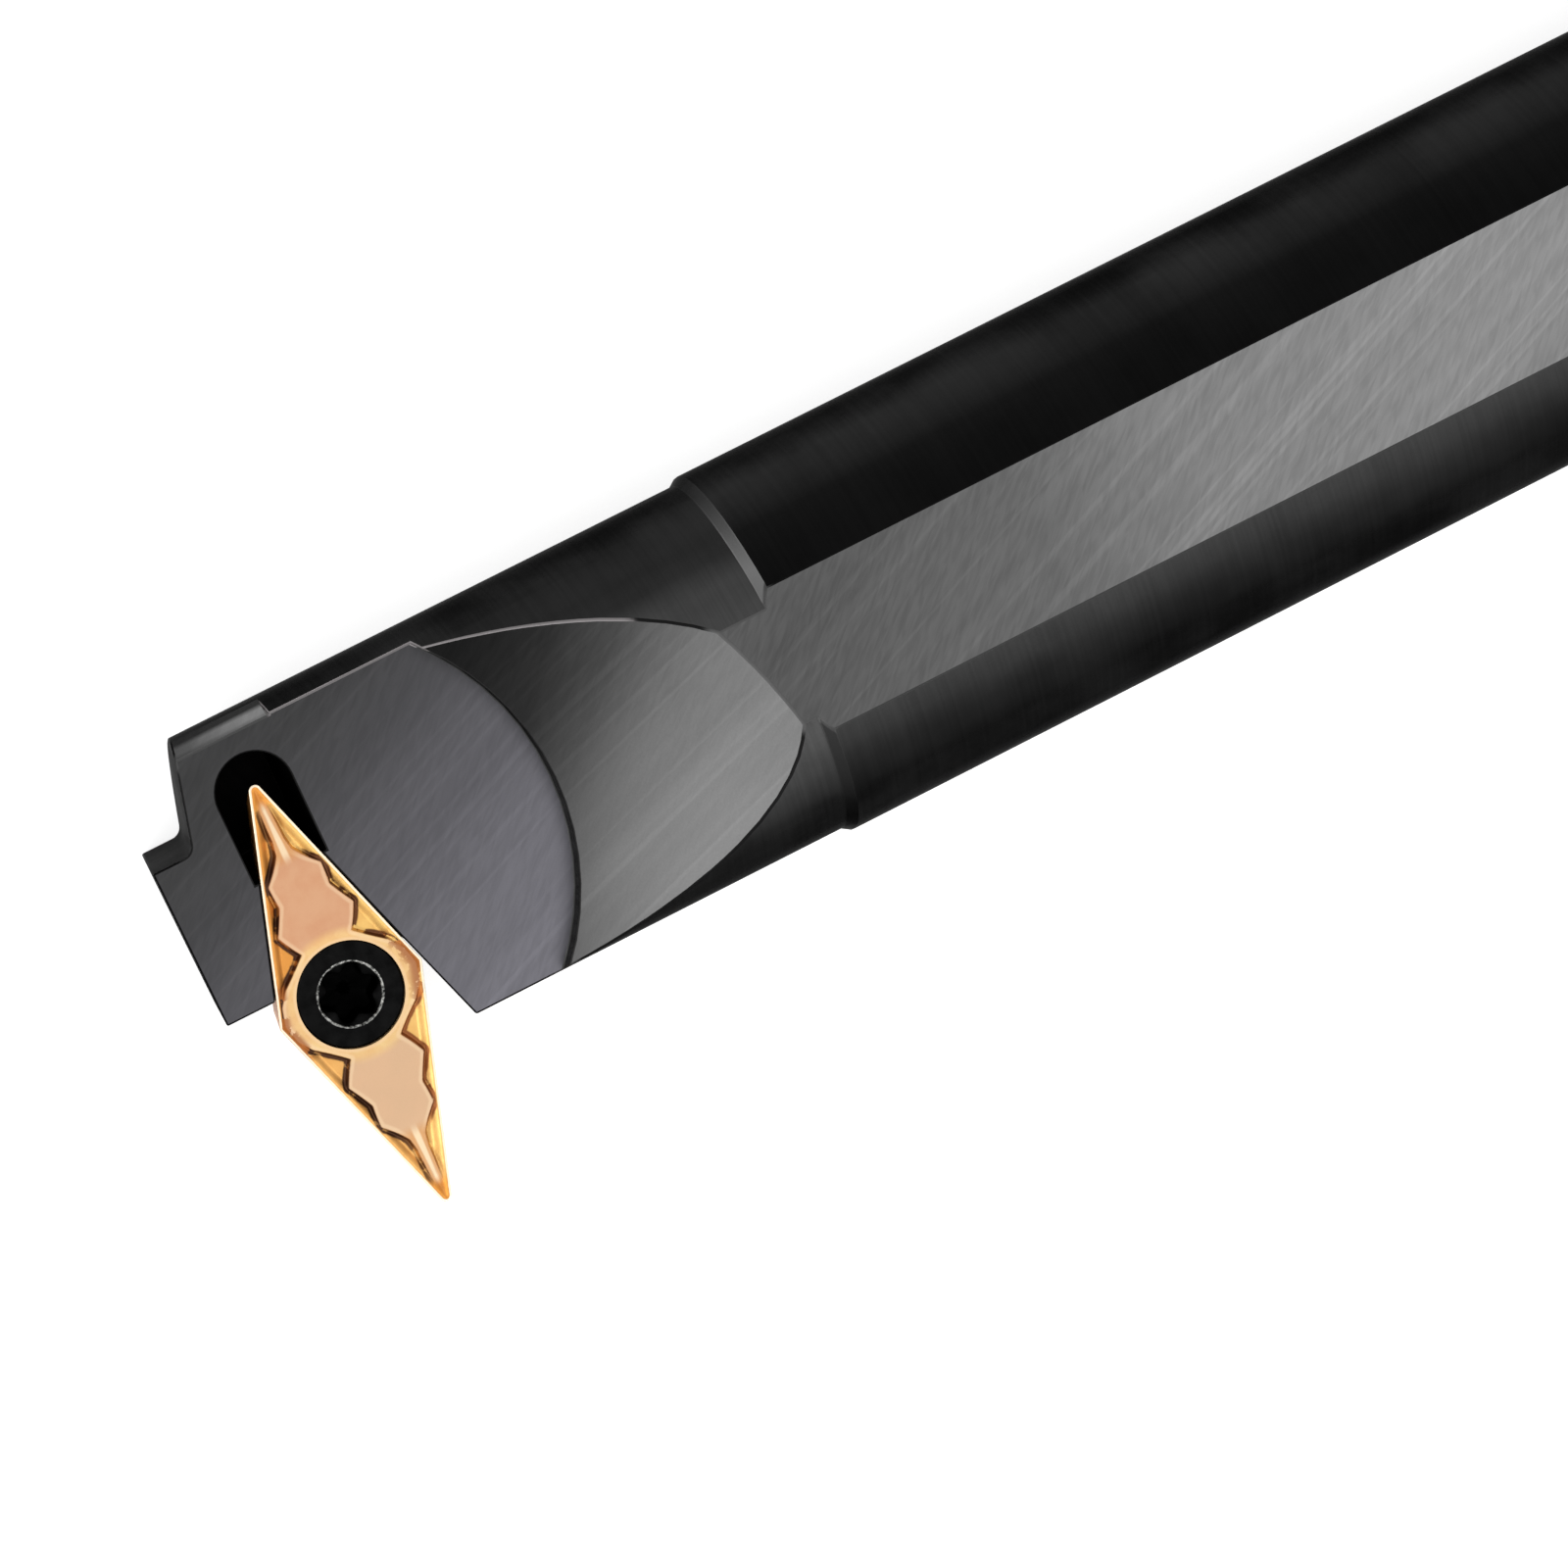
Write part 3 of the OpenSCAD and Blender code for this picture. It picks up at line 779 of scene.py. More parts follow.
# Where a tone gives way to the next: from one place to another, in metres
NECK_FROM, SKIN_FROM = (0.2088, 0.2094), (0.0112, 0.0118)
STEP_FROM, STEP_SIDE = (0.2430, 0.2440), (-0.0050, -0.0052)
END_FACE = (0.002, 0.001)
# Marks left by a tool: their slant, how far apart they lie, how long they run, how much they waver
TURNING = (math.pi / 2, 0.00022, 0.02, 0.1)
RINGS_PER_METRE = 4200.0
# Painted shade on the head's inner faces, and deeper painted shade on the face behind the step
INSIDE_PAINTED_SHADE, STEP_PAINTED_SHADE = grey(0.013), grey(0.0055)


def metal(name, tint):
    """A metallic material of the bar, with a tint at glancing angles: its tree, its shader, and
    the place of a point, whole and as x, y and z."""
    material, tree, shader = new_material(name)
    shader.inputs["Metallic"].default_value = 1.0
    shader.inputs["Specular Tint"].default_value = (*grey(tint), 1)
    bar.data.materials.append(material)
    place, x, y, z = object_place(tree)
    return tree, shader, place, x, y, z


def painted_round_bands(tree, y, z, tones):
    """The painted bands of light and shade round the bar: a full turn is 1 along the ramp, and the top is
    at its middle.
    """
    share = maths(tree, "MULTIPLY_ADD", maths(tree, "ARCTAN2", y, z), 0.5 / math.pi, 0.5)
    return greys(tree, share, [(0.5 + degrees / 360, level) for degrees, level in tones])


tree, shader, place, x, y, z = metal("Blackened steel", tint=0.25)
clouds = effect(tree, cloud_group, place, Cloud=0.007, Grain=0.00015)
turning = marks(tree, place, *TURNING)
off_axis = from_axis(tree, y, z)
# Painted light and shade: bands round the shank and the neck, blended at the shoulder
shank, neck = (painted_round_bands(tree, y, z, tones) for tones in (SHANK_PAINTED_BANDS, NECK_PAINTED_BANDS))
painted_round = mix(tree, within(tree, x, *NECK_FROM), shank, neck)
step_shade_mask = all_of(tree, within(tree, x, *STEP_FROM), within(tree, y, *STEP_SIDE))
base = mix(tree, within(tree, off_axis, *SKIN_FROM), mix(tree, step_shade_mask, INSIDE_PAINTED_SHADE, STEP_PAINTED_SHADE), painted_round)
rings = noise(tree, add(tree, "ShaderNodeCombineXYZ", i0=off_axis).outputs[0], RINGS_PER_METRE, 2.0)
rings = all_of(tree, within(tree, rings, 0.3, 0.7), within(tree, x, *END_FACE))
tone = maths(tree, "MULTIPLY_ADD", clouds["Cloud"], 0.35, 0.8)
tone = maths(tree, "MULTIPLY_ADD", turning, 0.15, tone)
tone = maths(tree, "MULTIPLY_ADD", rings, 0.3, tone)
rough = maths(tree, "MULTIPLY_ADD", clouds["Cloud"], 0.08, 0.40)
rough = maths(tree, "MULTIPLY_ADD", clouds["Grain"], 0.04, rough)
feed(tree, shader, Base_Color=tinted(tree, base, tone), Roughness=rough)
height = maths(tree, "MULTIPLY_ADD", turning, 0.7, maths(tree, "ADD", clouds["Grain"], rings))
bumped(tree, shader, height, distance=0.000004, strength=0.25)
print("Blackened steel has", len(tree.nodes), "nodes")

# %% [markdown]
# Ground flats, milled face and ramp.
#
# After blackening the flats are ground bare for the clamping screws, and the head's top and ramp
# carry the marks of the cutter. All three show the same marks: long straight ones at one slant,
# broad, soft and thin, and short wavy ones across them at another. So one function builds all
# three materials, and they differ in colour and contrast. Their base colours also carry painted
# light and shade: the flat is painted lighter towards the rear, the face is a bluish grey painted
# lighter along a slant, and the ramp is painted almost black on its high side and lighter towards
# the other. The small facet on the back side of the head is ground too, and carries a painted
# highlight: lightest halfway up, it fades towards the front.

# %% Ground and milled steel
# The marks again: slant, spacing, run and wave, and from which tone the thin ones show
LONG_SLANT, SHORT_SLANT = math.radians(-22), math.radians(-43)
BROAD_MARKS, SOFT_MARKS = (LONG_SLANT, 0.0011, 0.2, 0.05), (LONG_SLANT, 0.0034, 0.3, 0.0)
THIN_MARKS, THIN_FROM = (LONG_SLANT, 0.0005, 0.12, 0.03), (0.68, 1.0)
SHORT_MARKS = (SHORT_SLANT, 0.00027, 0.0017, 0.6)
# The painted light runs rearwards along the flat, and the painted highlight upwards over the facet,
# between these places
FLAT_RUN, FACET_RUN = (0.208, 0.155), (0.0017, 0.0046)
FLAT_PAINTED_LIGHT = [(0.0, 0.088), (0.3, 0.112), (0.52, 0.175), (1.0, 0.21)]
FACET_PAINTED_HIGHLIGHT = [(0.26, 0.06), (0.5, 1.0), (0.78, 1.0), (0.95, 0.62)]
FACET_FROM, FACET_HIGHLIGHT_LEVELS = (0.2300, 0.2380), (0.2455, 0.2395, 0.060, 0.200)
# The face and the ramp are painted lighter as y less a share of x goes from one value to another
FACE_LEAN, FACE_RUN = 0.55, (-0.144, -0.113)
FACE_PAINTED_SHADE, FACE_PAINTED_LIGHT = (0.042, 0.0418, 0.0425), (0.143, 0.140, 0.158)
RAMP_LEAN, RAMP_RUN = 1.25, (-0.296, -0.262)
RAMP_PAINTED_LIGHT_AND_SHADE = [(0.0, 0.010), (0.25, 0.020), (0.5, 0.050), (0.77, 0.107), (1.0, 0.142)]


def streaked(tree, shader, place, base, contrast, roughness):
    """Adds the marks to a base colour, then roughness and bump from the same marks. The tone is
    1 - 1.13 contrast, and each set of marks adds its own share of the contrast."""
    broad, soft = marks(tree, place, *BROAD_MARKS), marks(tree, place, *SOFT_MARKS)
    thin = within(tree, marks(tree, place, *THIN_MARKS), *THIN_FROM)
    short = marks(tree, place, *SHORT_MARKS)
    clouds = effect(tree, cloud_group, place, Cloud=0.012, Grain=0.0001)
    tone = 1 - 1.13 * contrast
    for mask, share in ((broad, 0.4), (soft, 0.6), (thin, 0.55), (short, 0.7), (clouds["Cloud"], 0.25)):
        tone = maths(tree, "MULTIPLY_ADD", mask, share * contrast, tone)
    rough = maths(tree, "MULTIPLY_ADD", short, 0.06, roughness)
    rough = maths(tree, "MULTIPLY_ADD", clouds["Grain"], 0.05, rough)
    feed(tree, shader, Base_Color=tinted(tree, base, tone), Roughness=rough)
    height = maths(tree, "MULTIPLY_ADD", broad, 0.5, maths(tree, "MULTIPLY", short, 0.8))
    bumped(tree, shader, height, distance=0.00001, strength=0.2)


tree, shader, place, x, y, z = metal("Ground flat", tint=0.6)
# Painted light along the flat, lighter towards the rear, and a painted highlight band over the facet
facet = tinted(tree, greys(tree, even(tree, z, *FACET_RUN), FACET_PAINTED_HIGHLIGHT), within(tree, x, *FACET_HIGHLIGHT_LEVELS))
base = mix(tree, within(tree, x, *FACET_FROM), greys(tree, even(tree, x, *FLAT_RUN), FLAT_PAINTED_LIGHT), facet)
streaked(tree, shader, place, base, contrast=0.26, roughness=0.40)

tree, shader, place, x, y, z = metal("Milled face", tint=0.6)
slanting = maths(tree, "MULTIPLY_ADD", x, -FACE_LEAN, y)
# Painted light and shade: the face is painted lighter along a slant
base = mix(tree, within(tree, slanting, *FACE_RUN), FACE_PAINTED_SHADE, FACE_PAINTED_LIGHT)
streaked(tree, shader, place, base, contrast=0.18, roughness=0.44)

tree, shader, place, x, y, z = metal("Turned ramp", tint=0.6)
slanting = maths(tree, "MULTIPLY_ADD", x, -RAMP_LEAN, y)
# Painted shade on the ramp's high side, painted light towards the other
base = greys(tree, within(tree, slanting, *RAMP_RUN), RAMP_PAINTED_LIGHT_AND_SHADE)
streaked(tree, shader, place, base, contrast=0.24, roughness=0.42)
print("ground and milled finishes:", len(bar.data.materials) - 1)

# %% [markdown]
# Pocket.
#
# The pocket and the slot keep the black of the bath, painted deeper still as shade in the recess,
# with the faint arcs of the cutter. The round wall of the scoop belongs to the same finish, since
# both are walls that an end mill leaves, but it is painted grey on the side of the cutting tip, as
# painted light, and dark on the other side, as painted shade.

# %% Pocket
# Slant, spacing, run and wave of the arcs, then where the wall starts and where its painted light begins
CUTTER_ARCS = (math.radians(70), 0.0003, 0.01, 0.2)
WALL_FROM, WALL_SIDE = (0.0166, 0.0169), (-0.004, 0.002)
WALL_PAINTED_SHADE, WALL_PAINTED_LIGHT = grey(0.02), grey(0.085)
POCKET_SHADE_DEEP, POCKET_SHADE_PALE = grey(0.003), grey(0.0055)

tree, shader, place, x, y, z = metal("Pocket black", tint=0.15)
clouds = effect(tree, cloud_group, place, Cloud=0.003, Grain=0.0001)
cutter = marks(tree, place, *CUTTER_ARCS)
# Painted light on the scoop wall's tip side, painted shade on its other side
painted_wall = mix(tree, within(tree, y, *WALL_SIDE), WALL_PAINTED_SHADE, WALL_PAINTED_LIGHT)
# Painted shade: the pocket and the slot near black, over the bath's black
base = mix(tree, clouds["Cloud"], POCKET_SHADE_DEEP, POCKET_SHADE_PALE)
base = mix(tree, within(tree, from_scoop_axis(tree, x, y), *WALL_FROM), base, painted_wall)
base = tinted(tree, base, maths(tree, "MULTIPLY_ADD", cutter, 0.4, 0.8))
feed(tree, shader, Base_Color=base, Roughness=maths(tree, "MULTIPLY_ADD", clouds["Grain"], 0.08, 0.5))
bumped(tree, shader, cutter, distance=0.000006, strength=0.3)
print("Pocket black has", len(tree.nodes), "nodes")

# %% [markdown]
# Edges.
#
# The edges and the shoulder are where a rag or a spanner rubs. A thin grey line shows along the
# back edge of the head and the high side of the ramp: it is worn in patches and is also a painted
# highlight. The shoulder is painted with a soft band of light on one side and painted shade, almost
# black, on the other and below. The rest of the edges stay about as dark as the faces beside them,
# and so copy their painted light and shade, or a light line would run where the real bar has none.

# %% Stoned edges
# Tones of the shank's edges, copied from the painted shade and light of the round beside them:
# they change over the middle, from the back side to the tip's side
MIDDLE, BACK_EDGE_SHADE, TIP_EDGE_LIGHT = (-0.001, 0.001), 0.0055, 0.038
# Tones of the edges further along the bar: where each one starts to hold, and its level
EDGE_TONES = [((0.2080, 0.2090), 0.009), ((0.2390, 0.2400), 0.015), ((0.2478, 0.2484), 0.005)]
# The line along the back edge, part wear in patches and part painted highlight, between these
# places in x, y, z and distance from the axis
BACK_SIDE, BACK_START, BACK_END = (-0.0035, -0.0062), (0.2150, 0.2190), (0.2396, 0.2388)
BACK_LOW, BACK_SKIN, BACK_LINE_WEAR_AND_HIGHLIGHT = (0.001, 0.003), (0.01155, 0.01180), (0.165, 0.155, 0.157)
# The rim where the neck cuts the flat, the arc round the scoop, and the edges of the small facet
RIM_HEIGHT, RIM_START, RIM_TONE = (0.0112, 0.0114), (0.2080, 0.2090), 0.072
ARC_START, ARC_END, ARC_TONE = (0.0165, 0.0168), (0.0180, 0.0176), 0.042
FACET_EDGE, FACET_TONE = ((0.2388, 0.2394), (-0.0100, -0.0108), (0.0034, 0.0042)), 0.062
# The bevelled shoulder, its painted band of light and shade from one side of the bar to the other,
# and the painted shade below
BEVEL_START, BEVEL_END, BEVEL_HEIGHT = (0.2083, 0.2085), (0.2095, 0.2093), (0.0114, 0.0113)
BEVEL_RUN, BEVEL_UPPER, BEVEL_BELOW_SHADE = (-0.012, 0.012), (-0.003, 0.0), 0.014
BEVEL_PAINTED_BAND = [
    (0.04, 0.036), (0.12, 0.058), (0.17, 0.095), (0.24, 0.15), (0.32, 0.135),
    (0.5, 0.045), (0.67, 0.038), (0.83, 0.022), (0.96, 0.010),
]

tree, shader, place, x, y, z = metal("Stoned edge", tint=0.3)
off_axis, off_scoop = from_axis(tree, y, z), from_scoop_axis(tree, x, y)
back = all_of(tree, within(tree, y, *BACK_SIDE), within(tree, x, *BACK_START), within(tree, x, *BACK_END),
              within(tree, z, *BACK_LOW), within(tree, off_axis, *BACK_SKIN))
wear_and_highlight = effect(tree, wear_group, place, Amount=back, Patch=0.0008)["Worn"]
rim = all_of(tree, within(tree, z, *RIM_HEIGHT), within(tree, x, *RIM_START))
arc = all_of(tree, within(tree, off_scoop, *ARC_START), within(tree, off_scoop, *ARC_END))
facet = all_of(tree, *(within(tree, part, *reach) for part, reach in zip((x, y, z), FACET_EDGE)))
# The shank's edges copy the painted shade and light of the round beside them
base = mix(tree, within(tree, y, *MIDDLE), grey(BACK_EDGE_SHADE), grey(TIP_EDGE_LIGHT))
for start, level in EDGE_TONES:
    base = mix(tree, within(tree, x, *start), base, grey(level))
for mask, level in ((rim, RIM_TONE), (arc, ARC_TONE), (facet, FACET_TONE)):
    base = mix(tree, mask, base, grey(level))
# Back edge: a light line, part wear and part painted highlight
base = mix(tree, wear_and_highlight, base, BACK_LINE_WEAR_AND_HIGHLIGHT)
# Shoulder: a painted band of light and shade round the bar, darker below
bevel_painted_band = greys(tree, even(tree, y, *BEVEL_RUN), BEVEL_PAINTED_BAND)
bevel_painted_band = mix(tree, within(tree, z, *BEVEL_UPPER), grey(BEVEL_BELOW_SHADE), bevel_painted_band)
on_bevel = all_of(tree, within(tree, x, *BEVEL_END), within(tree, x, *BEVEL_START),
                  within(tree, maths(tree, "ABSOLUTE", z), *BEVEL_HEIGHT))
clouds = effect(tree, cloud_group, place, Cloud=0.002, Grain=0.00008)
feed(tree, shader, Base_Color=mix(tree, on_bevel, base, bevel_painted_band),
     Roughness=maths(tree, "MULTIPLY_ADD", clouds["Cloud"], 0.12, 0.4))
bumped(tree, shader, clouds["Grain"], distance=0.000004, strength=0.3)
print("bar materials:", ", ".join(material.name for material in bar.data.materials))

# %% [markdown]
# Coated carbide.
#
# The insert wears a gold coat of a few thousandths of a millimetre. On the ground land it is pale
# and bright, in the groove it is a warm gold, and on top of the island it is matt and pinkish,
# because there the pressed surface was left as it was. Light and shade are painted on the coat
# too: the groove is painted lighter on one side and darker on the other, one half of the insert is
# painted paler, a broken dark line of painted shade runs at the foot of the island with a painted
# highlight along its brow, and near the tip the ridge carries a painted highlight between painted
# shade on its flanks. Round the hole the pads are paler, with brown patches towards the edge. None
# of this can follow from a texture's own pattern: it follows the shape, so the distances that made
# the relief were stored on the mesh and now drive the paint.

# %% Colours of the coat
# Painted light and shade: one side of the groove is painted darker, one half of the insert painted
# paler, and soft clouds vary both
SIDES, HALVES = (-1.2, 1.2), (-1.0, 3.0)
GOLD_PAINTED_SHADE, GOLD_PAINTED_LIGHT = (0.70, 0.295, 0.058), (0.80, 0.50, 0.155)
GOLD_PAINTED_PALE, GOLD_DEEP = (0.85, 0.55, 0.20), (0.55, 0.22, 0.04)
PINK_WARM, PINK_PAINTED_PALE, PINK_CLOUD = (0.64, 0.32, 0.168), (0.67, 0.43, 0.255), (0.74, 0.46, 0.27)
PAD_PALE, PAD_WARM, PAD_RUN = (0.88, 0.62, 0.26), (0.82, 0.50, 0.19), (1.1, 0.35)
CREASE_SHADE_DARK, CREASE_SHADE_BROWN, CREASE_SHADE_RED = (0.038, 0.011, 0.005), (0.085, 0.022, 0.006), (0.22, 0.065, 0.016)

material, tree, shader = new_material("Coated carbide")
insert.data.materials.append(material)
place = object_place(tree)[0]
stored = ("edge_mm", "island_mm", "along_mm", "across_mm", "hole_mm")
edge_mm, island_mm, along, across, hole_mm = (attribute(tree, name) for name in stored)
off_middle, off_ridge = maths(tree, "ABSOLUTE", along), maths(tree, "ABSOLUTE", across)
clouds = effect(tree, cloud_group, place, Cloud=0.0016, Grain=0.00007)
patches = effect(tree, cloud_group, place, Cloud=0.0009, Grain=0.00016)
# Painted light: one side of the groove painted lighter, and one half of the insert painted paler
painted_lit_side, painted_pale_half = within(tree, across, *SIDES), within(tree, along, *HALVES)
gold = mix(tree, painted_lit_side, GOLD_PAINTED_SHADE, GOLD_PAINTED_LIGHT)
gold = laid_over(tree, gold, painted_pale_half, 0.45, GOLD_PAINTED_PALE)
gold = laid_over(tree, gold, clouds["Cloud"], 0.35, GOLD_DEEP)
pink = mix(tree, painted_pale_half, PINK_WARM, PINK_PAINTED_PALE)
pink = laid_over(tree, pink, clouds["Cloud"], 0.3, PINK_CLOUD)
pad = mix(tree, patches["Cloud"], PAD_PALE, PAD_WARM)
pink = laid_over(tree, pink, within(tree, hole_mm, *PAD_RUN), 0.75, pad)
colour = mix(tree, within(tree, island_mm, -0.14, 0.02), gold, pink)
print("ground colours of the coat:", len(tree.nodes), "nodes")

# %% Painted crease shade, highlights, patches and edge of the coat
# Places in mm: along and across the insert, in from its edge, and from the island's outline
TAIL, TIP_END = (9.2, 10.2), (13.0, 13.8)
FOOT, FOOT_OUTSIDE, LAND_END = (-0.45, -0.33), (0.02, -0.07), (0.17, 0.27)
# The brown patches by the waist fade from one distance inwards to another, more on the side
# painted lighter
WAIST, PATCH_EDGE, PATCH_REACH, PATCH_MORE = (3.0, 2.2), 0.50, 0.85, 0.35
# The ridge's painted highlight is widest where it starts and gets narrower to the tip: where, and
# its half widths
RIDGE_SPAN = (9.6, 13.2, 0.30, 0.11)
WAIST_BROWN, BROW_HIGHLIGHT = (0.36, 0.11, 0.02), (0.92, 0.70, 0.44)
FLANK_PAINTED_SHADE, RIDGE_HIGHLIGHT = (0.66, 0.29, 0.07), (0.93, 0.74, 0.48)
TIP_GOLD, RIM_GOLD, HONED = (0.64, 0.26, 0.045), (0.86, 0.60, 0.34), (0.98, 0.85, 0.66)

# Painted shade: a broken dark line at the foot of the island, in the crease under its wall
ragged = maths(tree, "MULTIPLY_ADD", maths(tree, "SUBTRACT", clouds["Cloud"], 0.5), 0.10, island_mm)
fewest = maths(tree, "MULTIPLY_ADD", painted_lit_side, -0.35, 0.5)
gaps = within(tree, clouds["Cloud"], 0.12, 0.30, fewest, 1.0)
crease = all_of(tree, within(tree, ragged, *FOOT), within(tree, island_mm, *FOOT_OUTSIDE), gaps,
                within(tree, edge_mm, *LAND_END))
crease_shade = mix(tree, painted_lit_side, CREASE_SHADE_DARK, CREASE_SHADE_BROWN)
crease_shade = mix(tree, all_of(tree, painted_lit_side, painted_pale_half), crease_shade, CREASE_SHADE_RED)
tail = within(tree, off_middle, *TAIL)
kept = maths(tree, "MULTIPLY_ADD", all_of(tree, tail, painted_lit_side), -0.75, 0.97)
colour = laid_over(tree, colour, crease, kept, crease_shade)
# Painted highlight: a pale line along the island's brow
painted_brow = all_of(tree, within(tree, island_mm, -0.02, 0.06), within(tree, ragged, 0.30, 0.12))
colour = laid_over(tree, colour, painted_brow, 0.4, BROW_HIGHLIGHT)
deepest = maths(tree, "MULTIPLY_ADD", painted_lit_side, PATCH_MORE, PATCH_REACH)
flecks = all_of(tree, within(tree, off_middle, *WAIST), within(tree, edge_mm, deepest, PATCH_EDGE),
                within(tree, patches["Cloud"], 0.38, 0.50))
colour = laid_over(tree, colour, flecks, 0.85, WAIST_BROWN)
# Near the tip, painted shade on the ridge's flanks and a painted highlight on the ridge
painted_flank_shade = all_of(tree, tail, within(tree, island_mm, -0.1, 0.05), within(tree, off_ridge, 0.10, 0.22))
colour = laid_over(tree, colour, painted_flank_shade, 0.7, FLANK_PAINTED_SHADE)
off_ridge_share = maths(tree, "DIVIDE", off_ridge, within(tree, off_middle, *RIDGE_SPAN))
painted_ridge = all_of(tree, tail, within(tree, off_ridge_share, 1.0, 0.45))
colour = laid_over(tree, colour, painted_ridge, 0.85, RIDGE_HIGHLIGHT)
colour = mix(tree, within(tree, off_middle, *TIP_END), colour, TIP_GOLD)
colour = laid_over(tree, colour, within(tree, hole_mm, 0.28, 0.1), 0.7, RIM_GOLD)
honed = all_of(tree, within(tree, edge_mm, 0.20, 0.12), within(tree, edge_mm, -0.01, 0.03))
honed = effect(tree, wear_group, place, Amount=honed, Patch=0.0005)["Worn"]
colour = laid_over(tree, colour, honed, 0.9, HONED)
island_top = within(tree, island_mm, -0.1, 0.05)
rough = maths(tree, "MULTIPLY_ADD", island_top, 0.2, 0.34)
rough = maths(tree, "MULTIPLY_ADD", clouds["Grain"], 0.1, rough)
metallic = maths(tree, "MULTIPLY_ADD", island_top, -0.45, 0.75)
feed(tree, shader, Base_Color=colour, Metallic=metallic, Roughness=rough)
height = maths(tree, "MULTIPLY_ADD", clouds["Grain"], 0.6, patches["Grain"])
bumped(tree, shader, height, distance=0.000008, strength=0.25)
print("Coated carbide has", len(tree.nodes), "nodes")

# %% [markdown]
# Screw steel.
#
# The screw is black too. The sharp mouth of its socket carries a painted highlight in short
# dashes, and the socket is painted darker with depth, as painted shade.

# %% Screw steel
# The mouth's painted highlight in mm: from the middle, inside and outside, and below the head's face
MOUTH_IN, MOUTH_OUT, MOUTH_DEEP = (1.99, 2.06), (2.235, 2.17), (0.2, 0.08)
HEAD_BLACK, SOCKET_PAINTED_SHADE, MOUTH_HIGHLIGHT = grey(0.0055), grey(0.0008), (0.50, 0.50, 0.475)

material, tree, shader = new_material("Screw steel")
screw.data.materials.append(material)
shader.inputs["Metallic"].default_value = 1.0
shader.inputs["Specular Tint"].default_value = (*grey(0.12), 1)
place = object_place(tree)[0]
ring_mm, deep_mm = attribute(tree, "ring_mm"), attribute(tree, "deep_mm")
clouds = effect(tree, cloud_group, place, Cloud=0.001, Grain=0.00008)
mouth = all_of(tree, within(tree, ring_mm, *MOUTH_IN), within(tree, ring_mm, *MOUTH_OUT),
               within(tree, deep_mm, *MOUTH_DEEP))
highlight_dashes = effect(tree, wear_group, place, Amount=maths(tree, "MULTIPLY", mouth, 0.45), Patch=0.00022)["Worn"]
# Painted shade: the socket darker with depth; painted highlight: dashes on its mouth
base = mix(tree, within(tree, deep_mm, 0.1, 0.6), HEAD_BLACK, SOCKET_PAINTED_SHADE)
base = tinted(tree, base, maths(tree, "MULTIPLY_ADD", clouds["Cloud"], 0.6, 0.7))
base = laid_over(tree, base, highlight_dashes, mouth, MOUTH_HIGHLIGHT)
feed(tree, shader, Base_Color=base, Roughness=maths(tree, "MULTIPLY_ADD", clouds["Grain"], 0.12, 0.36))
bumped(tree, shader, clouds["Grain"], distance=0.000005, strength=0.3)
print("Screw steel has", len(tree.nodes), "nodes")

# %% [markdown]
# Floor and light.
#
# The bar lies on a pale floor in a white room. Metal shows its surroundings, so the floor and the
# room are plain white to the camera and to reflections, and give only a soft part of their light.
# The rest comes from large soft lamps: one over the head's front, one over the rear, whose
# reflection adds to the light painted along the flat there, and two long low ones that add soft
# highlights to the bands of light and shade painted on the two sides of the round.

# %% Floor and room
# The floor lies just under the lower flat. It adds some light of its own, but only where it is seen
FLOOR_Z, FLOOR_HALF, FLOOR_LIFT = -0.01152, 3.0, 0.70
# The light that the room gives to surfaces, where 1 is what is seen of it
ROOM_LIGHT = 0.5


def seen_directly(tree):
    """1 for rays from the camera, from a reflection or through glass, 0 for light on surfaces."""
    rays = add(tree, "ShaderNodeLightPath").outputs
    direct = maths(tree, "ADD", rays["Is Camera Ray"], rays["Is Glossy Ray"])
    return maths(tree, "ADD!", direct, rays["Is Transmission Ray"])


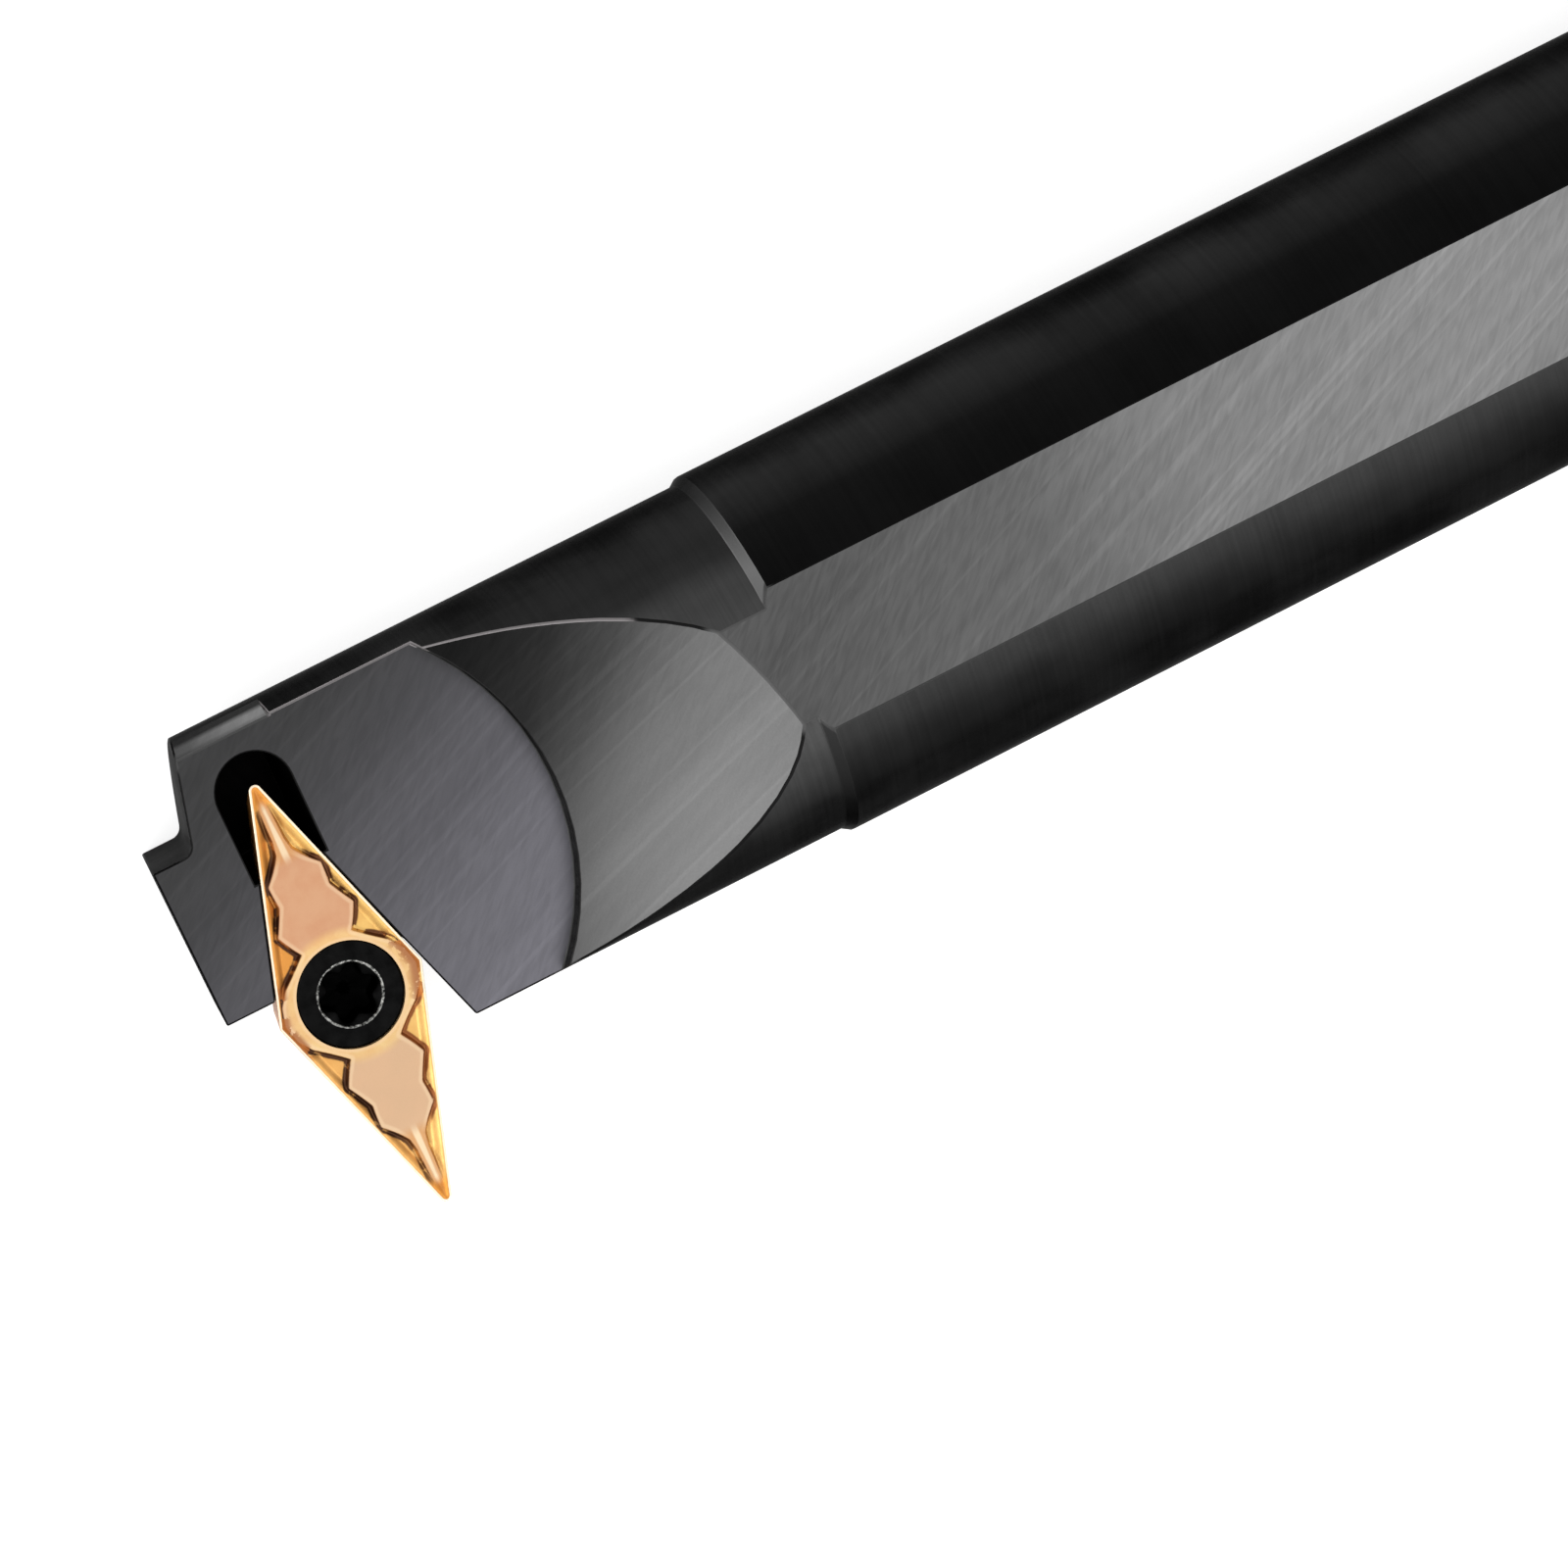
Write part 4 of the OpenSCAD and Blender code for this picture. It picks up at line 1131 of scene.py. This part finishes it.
floor_mesh = bpy.data.meshes.new("floor")
corners = [(-1, -1), (1, -1), (1, 1), (-1, 1)]
floor_mesh.from_pydata([(FLOOR_HALF * a, FLOOR_HALF * b, FLOOR_Z) for a, b in corners], [], [(0, 1, 2, 3)])
floor_piece = bpy.data.objects.new("floor", floor_mesh)
bpy.context.scene.collection.objects.link(floor_piece)
material, tree, shader = new_material("Pale floor")
shader.inputs["Base Color"].default_value = (*grey(0.8), 1)
shader.inputs["Roughness"].default_value = 0.9
shader.inputs["Specular IOR Level"].default_value = 0.0
shader.inputs["Emission Color"].default_value = (*grey(1.0), 1)
feed(tree, shader, Emission_Strength=maths(tree, "MULTIPLY", seen_directly(tree), FLOOR_LIFT))
floor_mesh.materials.append(material)

world = bpy.data.worlds.new("Studio")
bpy.context.scene.world = world
world.use_nodes = True
background = world.node_tree.nodes["Background"]
background.inputs["Color"].default_value = (*grey(1.0), 1)
room = maths(world.node_tree, "MULTIPLY_ADD", seen_directly(world.node_tree), 1 - ROOM_LIGHT, ROOM_LIGHT)
world.node_tree.links.new(room, background.inputs["Strength"])
bpy.context.scene.view_settings.view_transform = "Standard"
print("floor at", round(1000 * FLOOR_Z, 2), "mm")


# %% Lamps
def softbox(name, place, aim, size, brightness):
    """A lamp with a white face that looks at a point. Its power is brightness times pi times its
    area, so a larger lamp gives more light and its face looks no brighter."""
    lamp = bpy.data.lights.new(name, "AREA")
    lamp.shape = "RECTANGLE"
    lamp.size, lamp.size_y = size
    lamp.energy = brightness * math.pi * size[0] * size[1]
    holder = bpy.data.objects.new(name, lamp)
    holder.location = place
    holder.rotation_euler = (Vector(aim) - Vector(place)).to_track_quat("-Z", "Y").to_euler()
    bpy.context.scene.collection.objects.link(holder)
    print(name + ":", round(lamp.energy, 2), "W")


softbox("Front softbox", (0.62, 0.10, 0.50), (0.22, 0, 0), (0.42, 0.42), 2.2)
softbox("Rear softbox", (-0.30, 0.06, 0.70), (0.15, 0, 0), (0.30, 0.30), 3.0)
softbox("Left strip", (0.15, -0.60, 0.06), (0.15, 0, 0), (0.8, 0.12), 2.5)
softbox("Right strip", (0.12, 0.55, 0.42), (0.15, 0, 0), (0.7, 0.12), 5.0)
